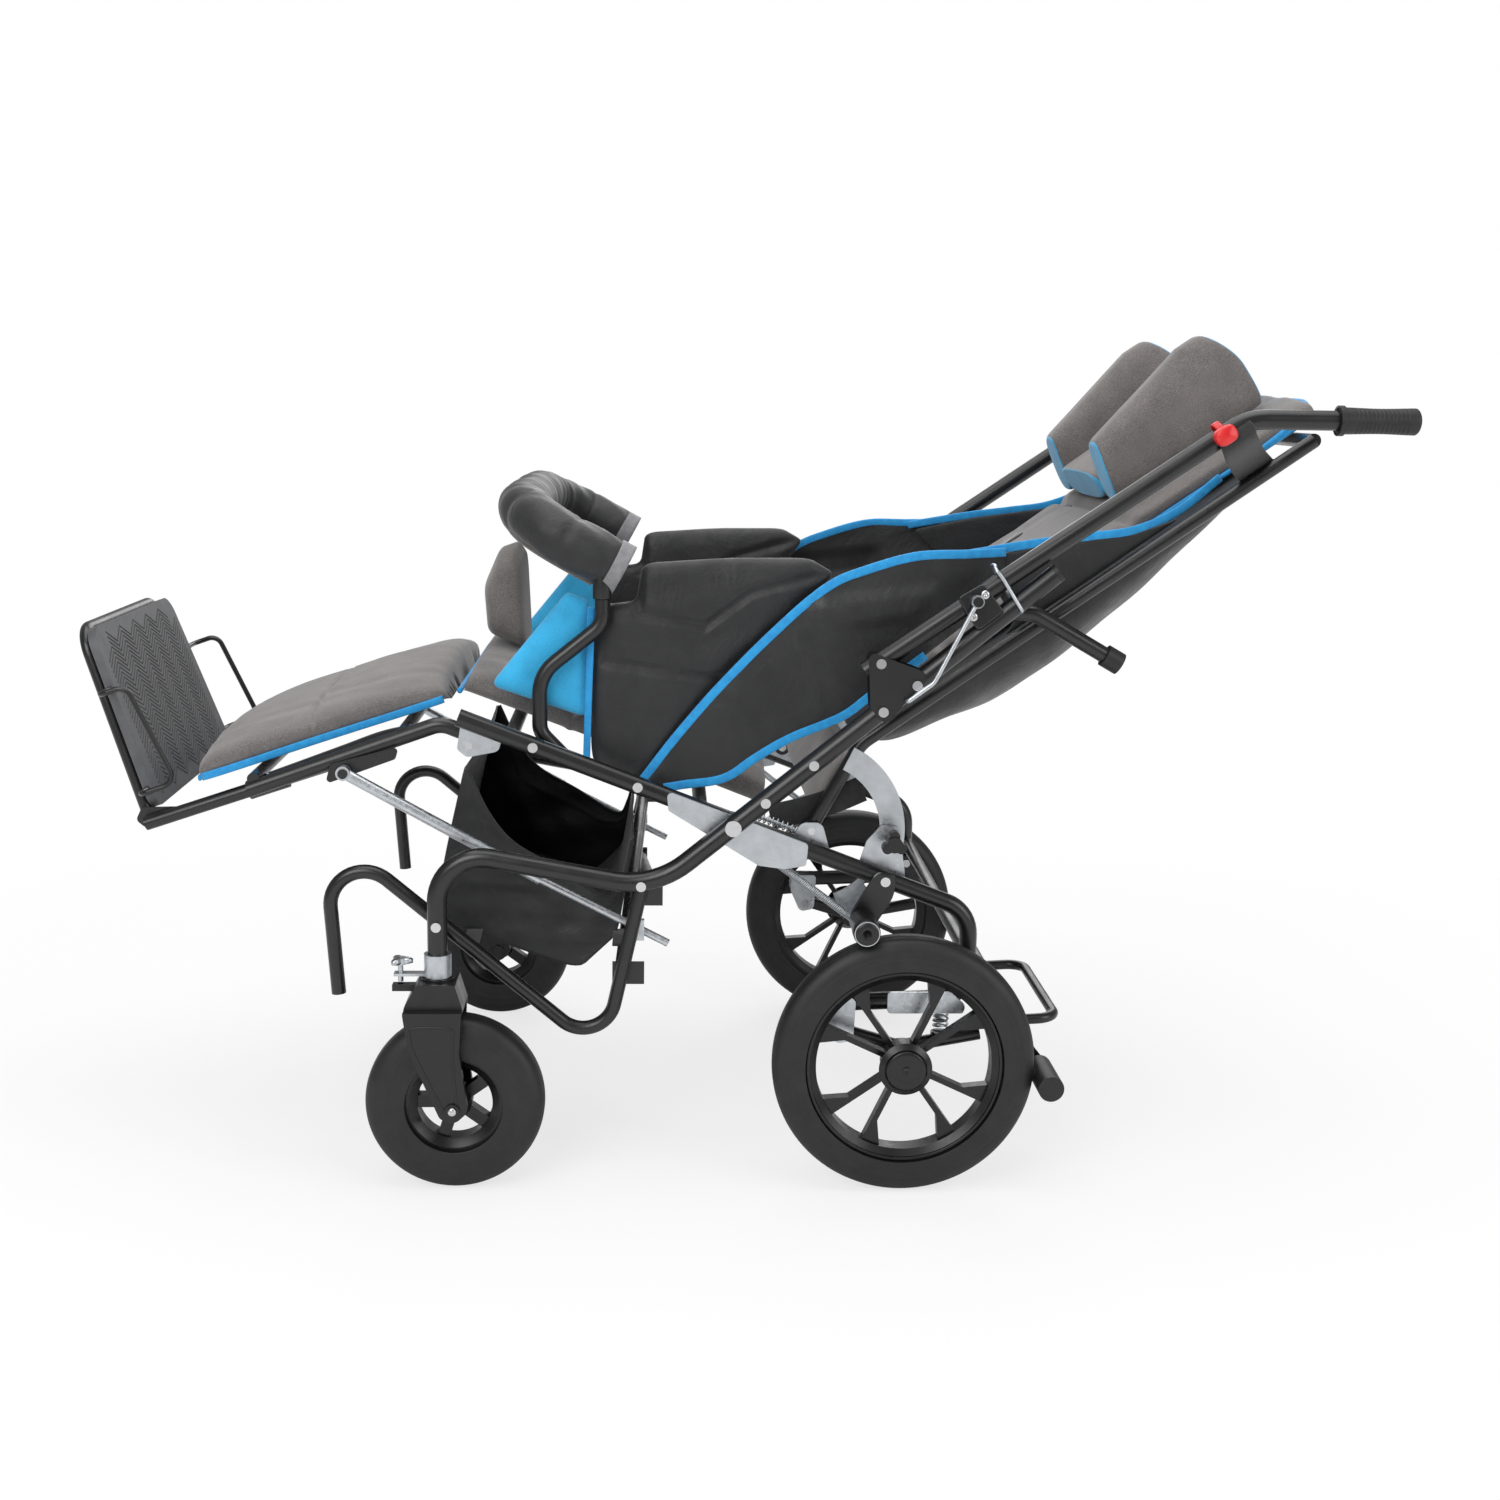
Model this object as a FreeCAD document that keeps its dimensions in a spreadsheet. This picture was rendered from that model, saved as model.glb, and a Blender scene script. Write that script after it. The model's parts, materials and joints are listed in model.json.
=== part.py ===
"""Special needs stroller: a folding tube frame on two casters and two sprung wheels.

Units are millimetres. +Z is up, the footplate points along -X, the push handles along +X, and the
left side of the stroller is at -Y. Every route is written in the frame of the rear axle (x = 0 at
the axle, z = 0 at the floor), and each sub-part is then placed at rear_axle_x.
"""
import FreeCAD, Part
import math
import os

import Sketcher
from FreeCAD import Placement, Rotation, Vector

doc = FreeCAD.newDocument("special_needs_stroller")
sheet = doc.addObject("Spreadsheet::Sheet", "sizes")

SIZES = (
    ("rear_axle_x", 203, "rear axle from the middle of the overall length"),
    ("fit_gap", 0.3, "gap between a part and its seat"),
    ("bolt_clearance", 0.05, "radial running clearance of a pivot"),
    ("tube_wall", 2, "wall of the frame tubes"),
    # main side tube, from the caster up to the handle gusset
    ("side_tube_radius", 11, "main side tube"),
    ("side_tube_lane", 304, "main side tube from the mid plane"),
    ("caster_stem_x", -520, "caster swivel axis"),
    ("stem_foot_height", 262, "lower end of the caster stem tube"),
    ("shoulder_height", 388.6, "corner over the caster stem"),
    ("shoulder_bend", 50, "bend radius over the caster stem"),
    ("elbow_x", -281.5, "lower corner of the side tube"),
    ("elbow_height", 345.4, "lower corner of the side tube"),
    ("elbow_bend", 100, "bend radius of the lower corner"),
    ("side_tube_slope", 39.18, "rise of the long straight, degrees"),
    ("side_tube_top_x", 150, "upper end of the side tube"),
    ("fold_pivot_x", -195, "scissor pivot of the two side tubes"),
    ("pivot_bolt_radius", 5, "scissor pivot bolt"),
    # hook tube under the main side tube
    ("hook_radius", 8, "hook tube"),
    ("hook_lane", 282, "hook tube from the mid plane"),
    ("hook_bend", 38, "bend radius at the top of the hook"),
    ("cradle_bend", 36, "bend radius at the bottom of the hook tube"),
    ("brace_radius", 8, "cross brace tube"),
    # seat side tube and rear leg
    ("seat_tube_radius", 10, "seat side tube"),
    ("seat_tube_lane", 278, "seat side tube from the mid plane"),
    ("seat_front_x", -497, "front end of the seat side tube"),
    ("seat_slope", 20.8, "fall of the seat tube towards the rear, degrees"),
    ("leg_x", 75, "vertical rear leg"),
    ("leg_bend", 40, "bend radius at the top of the leg"),
    ("leg_foot_height", 211, "lower corner of the leg"),
    ("leg_foot_bend", 32, "bend radius at the foot of the leg"),
    ("leg_toe_x", -74, "front end of the lower run"),
    ("leg_toe_height", 205, "front end of the lower run"),
    ("seat_cross_radius", 8, "seat cross tubes"),
    # wheels
    ("rear_wheel_radius", 148, "rear tyre"),
    ("rear_track", 317, "rear wheel from the mid plane"),
    ("rear_tyre_width", 44, "rear tyre"),
    ("rear_rim_radius", 112, "seat of the rear tyre"),
    ("rear_hub_radius", 25, "rear hub"),
    ("rear_hub_half", 24, "half length of the rear hub"),
    ("axle_radius", 6, "rear axle"),
    ("front_wheel_x", -502, "front wheel axle"),
    ("front_wheel_radius", 100, "front tyre"),
    ("front_tyre_width", 50, "front tyre"),
    ("front_rim_radius", 56, "seat of the front tyre"),
    ("front_axle_radius", 5, "front axle bolt"),
    ("fork_blade", 8, "thickness of a fork blade"),
    ("fork_slot_gap", 4, "gap between tyre and fork blade"),
    ("fork_stem_radius", 8, "caster swivel stem"),
    # swing arm and spring
    ("arm_radius", 8, "swing arm tube"),
    ("arm_pivot_x", -66, "swing arm pivot"),
    ("arm_pivot_height", 172, "swing arm pivot"),
    ("arm_tail_x", 92, "rear end of the swing arm"),
    ("arm_tail_height", 169, "rear end of the swing arm"),
    ("spring_x", 47, "suspension spring"),
    ("spring_coil_radius", 8, "suspension spring, to the middle of the wire"),
    ("spring_wire_radius", 1.5, "suspension spring wire"),
    ("spring_turns", 4, "suspension spring"),
    ("spring_foot", 170.5, "spring cup on the swing arm"),
    ("spring_head", 196.5, "spring cup under the seat frame"),
    # push handle
    ("push_hinge_x", -38, "push tube hinge"),
    ("push_hinge_rise", 56.148, "push tube hinge over the side tube's axis"),
    ("push_radius", 10.7, "push tube"),
    ("lever_x", 63, "pivot of the locking lever"),
    ("lever_stand", 12, "locking lever's wire from the push tube, past the frame bolts"),
    ("push_slope", 34.4, "rise of the push tube, degrees"),
    ("push_bend", 60, "bend radius below the grip"),
    ("grip_height", 866, "middle of the grips"),
    ("push_tube_end_x", 527, "end of the push tube inside the grip"),
    ("grip_start_x", 448, "front of the grip"),
    ("grip_length", 90, "grip"),
    ("grip_radius", 14.5, "grip"),
    # backrest
    ("recline_x", -105, "recline pivot"),
    ("recline_height", 402, "recline pivot"),
    ("back_tube_radius", 8, "backrest tube"),
    ("back_tube_lane", 252, "backrest tube from the mid plane"),
    ("back_slope", 34.9, "rise of the backrest, degrees"),
    ("back_knee_x", -50, "lower bend of the backrest tube"),
    ("back_knee_height", 500, "lower bend of the backrest tube"),
    ("back_length", 600, "backrest tube above the bend"),
    ("quadrant_inner", 78, "inner radius of the recline plate"),
    ("quadrant_outer", 106, "outer radius of the recline plate"),
    ("quadrant_slot_radius", 90.3, "slot of the recline plate"),
    ("plate_thickness", 3, "steel plates"),
    ("knob_stud_radius", 4, "stud of the recline clamp"),
    ("bolt_head", 5.5, "heads of the frame bolts"),
    ("rod_bolt_radius", 3, "small pivot pins"),
    ("stud_angle", -4.45, "recline stud about the recline pivot, degrees"),
    # soft parts
    ("seat_half_width", 205, "seat and back pad"),
    ("seat_pad_thickness", 45, "seat pad"),
    ("back_pad_thickness", 28, "back pad"),
    ("calf_pad_thickness", 44, "calf pad"),
    ("calf_half_width", 211, "calf pad"),
    ("crown", 6, "crown of a pad"),
    ("draw_in", 7, "how far a pad's sides pull in between its corners"),
    ("panel_inner", 216, "inner face of the side panels"),
    ("wedge_thickness", 8, "flat fabric wings"),
    ("headrest_base", 44, "middle of the head support"),
    ("headrest_inner", 94, "inner face of the head support's wings"),
    ("headrest_outer", 154, "outer face of the head support's wings"),
    ("basket_wall", 3, "basket fabric"),
    ("basket_half_width", 225, "basket"),
    # leg rest and footplate
    ("knee_x", -487, "knee pivot"),
    ("knee_height", 497, "knee pivot"),
    ("leg_tube_radius", 9, "leg rest tube"),
    ("leg_tube_lane", 240, "leg rest tube from the mid plane"),
    ("strut_pin_x", -626, "upper pin of the leg rest strut"),
    ("strut_pin_drop", 15.037, "upper pin of the strut under the leg tube's axis"),
    ("strut_lane", 259.5, "leg rest strut from the mid plane"),
    ("strut_radius", 6.5, "outer tube of the strut"),
    ("strut_rod_radius", 4.5, "rod of the strut"),
    ("clamp_x", -300, "clamp that holds the strut"),
    ("clamp_height", 288, "clamp that holds the strut"),
    ("slide_radius", 8, "sliding foot tube"),
    ("slide_lane", 202, "sliding foot tube from the mid plane"),
    ("foot_pin_inner", 171, "inner end of the footplate pin"),
    ("foot_loop_half", 181, "footplate loop at its hinge"),
    ("footplate_half_low", 191, "lower edge of the footplate"),
    ("footplate_half_high", 169, "upper edge of the footplate"),
    ("guard_lane", 222, "side guard from the mid plane"),
    ("foot_hinge_x", -862, "footplate hinge"),
    ("foot_hinge_height", 397, "footplate hinge"),
    ("footplate_tilt", 109.5, "direction of the footplate, degrees"),
    ("footplate_length", 215, "footplate"),
    ("footplate_thickness", 10, "footplate"),
    ("foot_loop_radius", 7, "footplate frame tube"),
    ("wire_radius", 3.25, "side guard wire"),
    # brakes
    ("brake_pivot_x", -23, "upper brake arm pivot"),
    ("brake_lane_gap", 2, "upper brake arm from the seat tube"),
    ("brake_gap", 3.4, "upper brake peg to tyre, room for the suspension"),
    ("peg_radius", 14, "upper brake peg"),
    ("rear_peg_radius", 14.5, "foot brake peg"),
    ("rear_peg_gap", 1.9, "foot brake peg to tyre"),
    ("pedal_pivot_height", 233, "foot brake pivot on the rear leg"),
    ("pedal_lane", 258, "foot brake arm from the mid plane"),
    ("pedal_thickness", 4, "foot brake arm"),
    ("pedal_reach", 55, "foot pedal behind its cross tube"),
    ("peg_end", 350, "outer ends of the brake pegs"),
    ("pedal_half_width", 112, "foot pedal loop"),
    ("long_spring_turns", 12, "long brake spring"),
    ("long_coil_radius", 2.8, "long brake spring, to the middle of the wire"),
    ("long_wire_radius", 0.65, "long brake spring wire"),
    ("spring_stud_radius", 2, "studs that hold the long brake spring"),
    # grab bar
    ("bar_pad_radius", 31, "padded grab bar"),
    ("bar_end_x", -318, "rear ends of the grab bar"),
    ("bar_end_height", 690, "rear ends of the grab bar"),
    ("bar_half_width", 245, "rear ends of the grab bar"),
    ("bar_front_x", -432, "front of the grab bar"),
    ("bar_front_height", 752, "front of the grab bar"),
    ("bar_bend", 100, "bend radius of the grab bar"),
    ("bar_pivot_x", -340, "grab bar pivot"),
    ("bar_pin_length", 25, "grab bar pin"),
    ("socket_radius", 8.5, "grab bar socket tube"),
    ("socket_lane", 259, "grab bar socket tube from the mid plane"),
    ("bar_rise", "=(bar_front_height - bar_end_height) / (bar_end_x - bar_front_x)",
     "rise of the grab bar's arms towards the front"),
    ("bar_axis_height", "=bar_end_height + bar_rise * (bar_end_x - bar_pivot_x)",
     "axis of the grab bar over its sockets"),
    ("bar_socket_height", "=bar_axis_height - bar_pad_radius * sqrt(1 + bar_rise ^ 2)"
     " - abs(bar_rise) * socket_radius - 2.054", "top of the grab bar sockets"),
    ("panel_outer", "=socket_lane - socket_radius - fit_gap", "outer face of the side panels"),
    ("shell_half", "=back_tube_lane - back_tube_radius - fit_gap", "half width of the back"),
    ("shell_width", "=2 * shell_half", "hanging pocket behind the back"),
)


def fill_sheet():
    """Writes one row for each driving size: its alias, its value and what it is."""
    for row, (alias, value, meaning) in enumerate(SIZES, 1):
        sheet.set(f"A{row}", alias)
        sheet.set(f"B{row}", str(value))
        sheet.setAlias(f"B{row}", alias)
        sheet.set(f"C{row}", meaning)
    doc.recompute()


def size(alias):
    """The value of one cell of the sheet."""
    return float(sheet.get(alias))


def polar(origin, angle, reach):
    """The point at an angle, in degrees from +X towards +Z, and a distance from origin."""
    return (
        origin[0] + reach * math.cos(math.radians(angle)),
        origin[1] + reach * math.sin(math.radians(angle)),
    )


def rounded(points, closed=False):
    """Lines and tangent arcs through corners (x, z, bend radius), in a sketch's own plane."""
    at = [Vector(p[0], p[1], 0) for p in points]
    return bent(at, [p[2] if len(p) > 2 else 0 for p in points], closed)


def bent(at, bend, closed=False):
    """Lines and tangent arcs through corners in space, each with its bend radius."""
    count = len(at)
    starts, ends, arcs = list(at), list(at), {}
    for i in range(count):
        if bend[i] <= 0 or (not closed and i in (0, count - 1)):
            continue
        back = (at[i - 1] - at[i]).normalize()
        ahead = (at[(i + 1) % count] - at[i]).normalize()
        half = back.getAngle(ahead) / 2
        reach = bend[i] / math.tan(half)
        starts[i], ends[i] = at[i] + back * reach, at[i] + ahead * reach
        inward = (back + ahead).normalize()
        middle = at[i] + inward * (bend[i] / math.sin(half) - bend[i])
        arcs[i] = Part.Arc(starts[i], middle, ends[i])
    edges = []
    for i in range(count):
        if i in arcs:
            edges.append(arcs[i])
        if i == count - 1 and not closed:
            break
        after = starts[(i + 1) % count]
        if (after - ends[i]).Length > 1e-6:
            edges.append(Part.LineSegment(ends[i], after))
    return edges


def origin_plane(body, role):
    """One of a body's own origin planes."""
    return next(f for f in body.Origin.OriginFeatures if f.Role == role)


def sketch_on(body, role, name):
    """A new sketch on one of the body's origin planes."""
    sketch = body.newObject("Sketcher::SketchObject", name)
    sketch.AttachmentSupport = [(origin_plane(body, role), "")]
    sketch.MapMode = "FlatFace"
    return sketch


def bind_circle(sketch, centre, alias, factor=""):
    """A circle at a fixed centre whose radius follows a cell."""
    index = sketch.addGeometry(
        Part.Circle(Vector(centre[0], centre[1], 0), Vector(0, 0, 1), size(alias))
    )
    for axis, value in (("DistanceX", centre[0]), ("DistanceY", centre[1])):
        sketch.addConstraint(Sketcher.Constraint(axis, -1, 1, index, 3, value))
    row = sketch.addConstraint(Sketcher.Constraint("Radius", index, size(alias)))
    sketch.setExpression(f"Constraints[{row}]", f"sizes.{alias}{factor}")


def place(obj, lane=None, offset=""):
    """Moves a sub-part to the rear axle, and to the left side when it has a lane."""
    obj.setExpression("Placement.Base.x", "sizes.rear_axle_x")
    if lane:
        obj.setExpression("Placement.Base.y", f"-(sizes.{lane}{offset})")


def tube(name, route, radius, lane, wall=None, offset=""):
    """A tube bent in a plane y = constant along rounded corners (x, z, bend radius)."""
    body = doc.addObject("PartDesign::Body", name)
    path = sketch_on(body, "XZ_Plane", f"{name}_path")
    for edge in rounded(route):
        path.addGeometry(edge)
    start = Vector(route[0][0], 0, route[0][1])
    ahead = Vector(route[1][0], 0, route[1][1]) - start
    ring = body.newObject("Sketcher::SketchObject", f"{name}_section")
    ring.Placement = Placement(start, Rotation(Vector(0, 0, 1), ahead))
    bind_circle(ring, (0, 0), radius)
    if wall:
        bind_circle(ring, (0, 0), radius, f" - sizes.{wall}")
    pipe = body.newObject("PartDesign::AdditivePipe", f"{name}_pipe")
    pipe.Profile = ring
    pipe.Spine = path
    place(body, lane, offset)
    return body


def plate(name, outline, thickness, lane, holes=(), offset=""):
    """A flat plate in a plane y = constant: rounded outline, round holes, padded outwards."""
    body = doc.addObject("PartDesign::Body", name)
    face = sketch_on(body, "XZ_Plane", f"{name}_outline")
    for edge in rounded(outline, closed=True):
        face.addGeometry(edge)
    for x, z, alias, play in holes:
        bind_circle(face, (x, z), alias, play)
    pad = body.newObject("PartDesign::Pad", f"{name}_pad")
    pad.Profile = face
    pad.setExpression("Length", f"sizes.{thickness}")
    place(body, lane, offset)
    return body


def rod(name, x, z, radius, inner, outer, hole=None):
    """A round bar along Y on the left side, from |y| = inner to outer."""
    bar = doc.addObject("Part::Cylinder", name)
    bar.setExpression("Radius", radius)
    bar.setExpression("Height", f"({outer}) - ({inner})")
    bar.Placement = Placement(Vector(0, 0, z), Rotation(Vector(1, 0, 0), 90))
    bar.setExpression("Placement.Base.x", f"sizes.rear_axle_x + ({x})")
    bar.setExpression("Placement.Base.y", f"-({inner})")
    return bar


def mirrored(obj, name):
    """The right-hand copy of a left-hand piece."""
    copy = doc.addObject("Part::Mirroring", name)
    copy.Source = obj
    copy.Normal = (0, 1, 0)
    return copy


def group(name, pieces):
    """Several separate solids of one body kept as one sub-part."""
    joined = doc.addObject("Part::Compound", name)
    joined.Links = pieces
    return joined


def pair(name, pieces):
    """Left-hand pieces and their mirror image as one sub-part."""
    left = group(f"{name}_left", pieces)
    return group(name, [left, mirrored(left, f"{name}_right")])


def both_sides(part, pieces):
    """The left-hand sub-part and its right-hand twin, each in a node of its own."""
    left = pieces[0] if len(pieces) == 1 else group(f"left_{part}", pieces)
    left.Label = f"left_{part}"
    right = mirrored(left, f"right_{part}")
    return [left, right]


def fused(name, pieces):
    """Pieces joined into one solid."""
    whole = doc.addObject("Part::MultiFuse", name)
    whole.Shapes = pieces
    return whole


def drilled(name, obj, tools):
    """A piece with other shapes cut away from it."""
    tool = tools[0]
    if len(tools) > 1:
        tool = doc.addObject("Part::MultiFuse", f"{name}_tools")
        tool.Shapes = tools
    cut = doc.addObject("Part::Cut", name)
    cut.Base, cut.Tool = obj, tool
    return cut


def shape_part(name, shape):
    """A sub-part whose form is worked out here, placed at the rear axle."""
    part = doc.addObject("Part::Feature", name)
    part.Shape = shape
    place(part)
    return part


def side_line(x):
    """Height of the main side tube's long straight at x."""
    slope = math.tan(math.radians(size("side_tube_slope")))
    return size("elbow_height") + slope * (x - size("elbow_x"))


def seat_line(x):
    """Height of the seat side tube's axis at x, from the scissor pivot."""
    slope = math.tan(math.radians(size("seat_slope")))
    return side_line(size("fold_pivot_x")) - slope * (x - size("fold_pivot_x"))


def push_line(x):
    """Height of the push tube's straight at x."""
    slope = math.tan(math.radians(size("push_slope")))
    x_hinge, z_hinge = push_hinge()
    return z_hinge + slope * (x - x_hinge)


def push_hinge():
    """The push tube's hinge, over the main side tube."""
    x = size("push_hinge_x")
    return x, side_line(x) + size("push_hinge_rise")


def back_point(along, off):
    """A point of the backrest: distance along its tube from the knee, and off it to the front."""
    knee = (size("back_knee_x"), size("back_knee_height"))
    return polar(polar(knee, size("back_slope"), along), size("back_slope") + 90, off)


def slot_plate(name, centre, inner, outer, slot, half_slot, sweep, slot_sweep, lane, offset):
    """A curved plate between two radii about a centre, with an arc slot, padded outwards."""
    body = doc.addObject("PartDesign::Body", name)
    face = sketch_on(body, "XZ_Plane", f"{name}_outline")
    for low, high, (start, stop) in (
        (inner, outer, sweep),
        (slot - half_slot, slot + half_slot, slot_sweep),
    ):
        for radius in (low, high):
            circle = Part.Circle(Vector(centre[0], centre[1], 0), Vector(0, 0, 1), radius)
            face.addGeometry(Part.ArcOfCircle(circle, math.radians(start), math.radians(stop)))
        for angle in (start, stop):
            a, b = polar(centre, angle, low), polar(centre, angle, high)
            face.addGeometry(Part.LineSegment(Vector(*a, 0), Vector(*b, 0)))
    pad = body.newObject("PartDesign::Pad", f"{name}_pad")
    pad.Profile = face
    pad.setExpression("Length", "sizes.plate_thickness")
    place(body, lane, offset)
    return body


def helix_path(start, axis, coil_radius, turns, height):
    """A helix as tangent pairs of arcs, two for each half turn, about a straight axis."""
    z = Vector(*axis).normalize()
    x = z.cross(Vector(0, 1, 0)).normalize()
    y = z.cross(x)
    pitch = height / turns
    rise = pitch / (2 * math.pi)
    halves = int(turns * 2)

    def point(k):
        a = k * math.pi
        return start + (x * math.cos(a) + y * math.sin(a)) * coil_radius + z * (rise * a)

    def ahead(k):
        a = k * math.pi
        return ((y * math.cos(a) - x * math.sin(a)) * coil_radius + z * rise).normalize()

    edges = []
    for k in range(halves):
        p, q, t, u = point(k), point(k + 1), ahead(k), ahead(k + 1)
        v, both = q - p, t + u
        spread = 2 * (1 - t.dot(u))
        leg = (-v.dot(both) + math.sqrt(v.dot(both) ** 2 + spread * v.dot(v))) / spread
        corners = (p + t * leg, q - u * leg)
        join = (corners[0] + corners[1]) * 0.5
        for a, corner, b in ((p, corners[0], join), (join, corners[1], q)):
            chord = (a + b) * 0.5
            out = (corner - chord).Length
            centre = corner + (chord - corner) * (leg * leg / (out * out))
            radius = leg * (a - chord).Length / out
            middle = centre + (corner - centre).normalize() * radius
            edges.append(Part.Arc(a, middle, b).toShape())
    return edges


def spring(start, end, coil_radius, wire_radius, turns):
    """A coil spring between two points: one faceted wire swept along a helix."""
    axis = end - start
    edges = helix_path(start, axis, coil_radius, turns, axis.Length)
    gap = axis.Length / turns - 2 * wire_radius
    print(f"spring of {turns:g} turns, least gap between turns {gap:.2f} mm")
    first = edges[0]
    begin, ahead = (f(first.FirstParameter) for f in (first.valueAt, first.tangentAt))
    side = ahead.cross(Vector(0, 1, 0)).normalize()
    other = ahead.cross(side)
    corners = [
        begin + (side * math.cos(a) + other * math.sin(a)) * wire_radius
        for a in (math.radians(90 * k) for k in range(5))
    ]
    return Part.Wire(edges).makePipeShell([Part.makePolygon(corners)], True, False)


def cushion(low, high, side, thickness, half_width, stations):
    """A pad along a line in the side view: flat back, bulged sides and a crowned face.

    Each station is (share of the length, share of the thickness, share of the draw-in).
    """
    length = math.hypot(high[0] - low[0], high[1] - low[1])
    angle = math.degrees(math.atan2(high[1] - low[1], high[0] - low[0]))
    bulge, crown, draw = 5, size("crown"), size("draw_in")
    rings = []
    for share, thick, pull in stations:
        base = polar(low, angle, share * length)
        wide = half_width - bulge - draw * pull

        def at(y, off):
            x, z = polar(base, angle + side * 90, off)
            return Vector(x, y, z)

        tall = thickness * thick
        corners = [at(-wide, 0), at(wide, 0), at(wide, tall), at(-wide, tall)]
        rings.append(
            Part.Wire(
                [
                    Part.LineSegment(corners[0], corners[1]).toShape(),
                    Part.Arc(corners[1], at(wide + bulge, tall / 2), corners[2]).toShape(),
                    Part.Arc(corners[2], at(0, tall + crown * thick), corners[3]).toShape(),
                    Part.Arc(corners[3], at(-wide - bulge, tall / 2), corners[0]).toShape(),
                ]
            )
        )
    return Part.makeLoft(rings, True, True)


PLAIN_ENDS = ((0, 0.6, 0.0), (0.05, 1, 0.3), (0.5, 1, 1), (0.95, 1, 0.3), (1, 0.6, 0.0))


def channelled(seams):
    """Stations of a pad with sewn channels across it at the given shares of its length."""
    rows = [(0, 0.6, 0.0), (0.05, 1, 0.3)]
    for seam in seams:
        pull = 1 - abs(2 * seam - 1)
        rows += [(seam - 0.04, 1, pull), (seam, 0.72, pull), (seam + 0.04, 1, pull)]
    return rows + [(0.95, 1, 0.3), (1, 0.6, 0.0)]


def padded_panel(outline, inner, outer, edge):
    """A padded panel in the side view: its rim is drawn in on both faces."""
    middle_x = sum(p[0] for p in outline) / len(outline)
    middle_z = sum(p[1] for p in outline) / len(outline)
    reach = max(math.hypot(p[0] - middle_x, p[1] - middle_z) for p in outline)
    rings = []
    for lane, share in ((inner, 1 - edge / reach), (inner + edge, 1), (outer - edge, 1),
                        (outer, 1 - edge / reach)):
        shrunk = [
            (middle_x + (p[0] - middle_x) * share, middle_z + (p[1] - middle_z) * share, p[2])
            for p in outline
        ]
        flat = [e.toShape() for e in rounded(shrunk, closed=True)]
        ring = Part.Wire(Part.__sortEdges__(flat))
        ring.Placement = Placement(Vector(0, -lane, 0), Rotation(Vector(1, 0, 0), 90))
        rings.append(ring)
    return Part.makeLoft(rings, True, True)


def star(body, name, spokes, hub, tip, depth):
    """Spokes as one padded star with a hole in the middle: spokes are (angle, half width, web)."""
    face = sketch_on(body, "XZ_Plane", f"{name}_star")
    corners = []
    for angle, half, web in spokes:
        root = math.degrees(half / hub)
        end = math.degrees(half / tip)
        corners.append(polar((0, 0), angle - root, hub))
        if web < 0:
            corners.append(polar((0, 0), angle - math.degrees(half / (tip * 0.72)), tip * 0.72))
        corners.append(polar((0, 0), angle - end + min(web, 0), tip))
        corners.append(polar((0, 0), angle + end + max(web, 0), tip))
        if web > 0:
            corners.append(polar((0, 0), angle + math.degrees(half / (tip * 0.72)), tip * 0.72))
        corners.append(polar((0, 0), angle + root, hub))
    for a, b in zip(corners, corners[1:] + corners[:1]):
        face.addGeometry(Part.LineSegment(Vector(*a, 0), Vector(*b, 0)))
    face.addGeometry(Part.Circle(Vector(0, 0, 0), Vector(0, 0, 1), hub * 0.7))
    pad = body.newObject("PartDesign::Pad", f"{name}_spokes")
    pad.Profile = face
    pad.Midplane = True
    pad.Length = depth


def turned(body, name, loops):
    """Adds rings turned about the wheel's axis, each a closed loop of (y, radius)."""
    face = sketch_on(body, "YZ_Plane", f"{name}_section")
    for loop in loops:
        for a, b in zip(loop, loop[1:] + loop[:1]):
            face.addGeometry(Part.LineSegment(Vector(*a, 0), Vector(*b, 0)))
    turn = body.newObject("PartDesign::Revolution", f"{name}_turned")
    turn.Profile = face
    turn.ReferenceAxis = (face, ["H_Axis"])
    turn.Angle = 360
    return turn


def at_wheel(body, x, lane, radius):
    """Places a wheel's body at its axle."""
    body.setExpression("Placement.Base.x", f"sizes.rear_axle_x + {x}")
    body.setExpression("Placement.Base.y", f"-sizes.{lane}")
    body.setExpression("Placement.Base.z", f"sizes.{radius}")


def tyre(name, radius, rim, width):
    """A solid tyre: bead, bulged flank, shoulder and a flat tread band."""
    body = doc.addObject("PartDesign::Body", name)
    half, crown, seat = size(width) / 2, size(radius), size(rim)
    middle = seat + 0.45 * (crown - seat)
    side = [(0.75, seat), (1, middle), (0.72, crown - 4), (0.25, crown)]
    loop = [(half * y, r) for y, r in side] + [(-half * y, r) for y, r in reversed(side)]
    turned(body, name, [loop])
    return body


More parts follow.
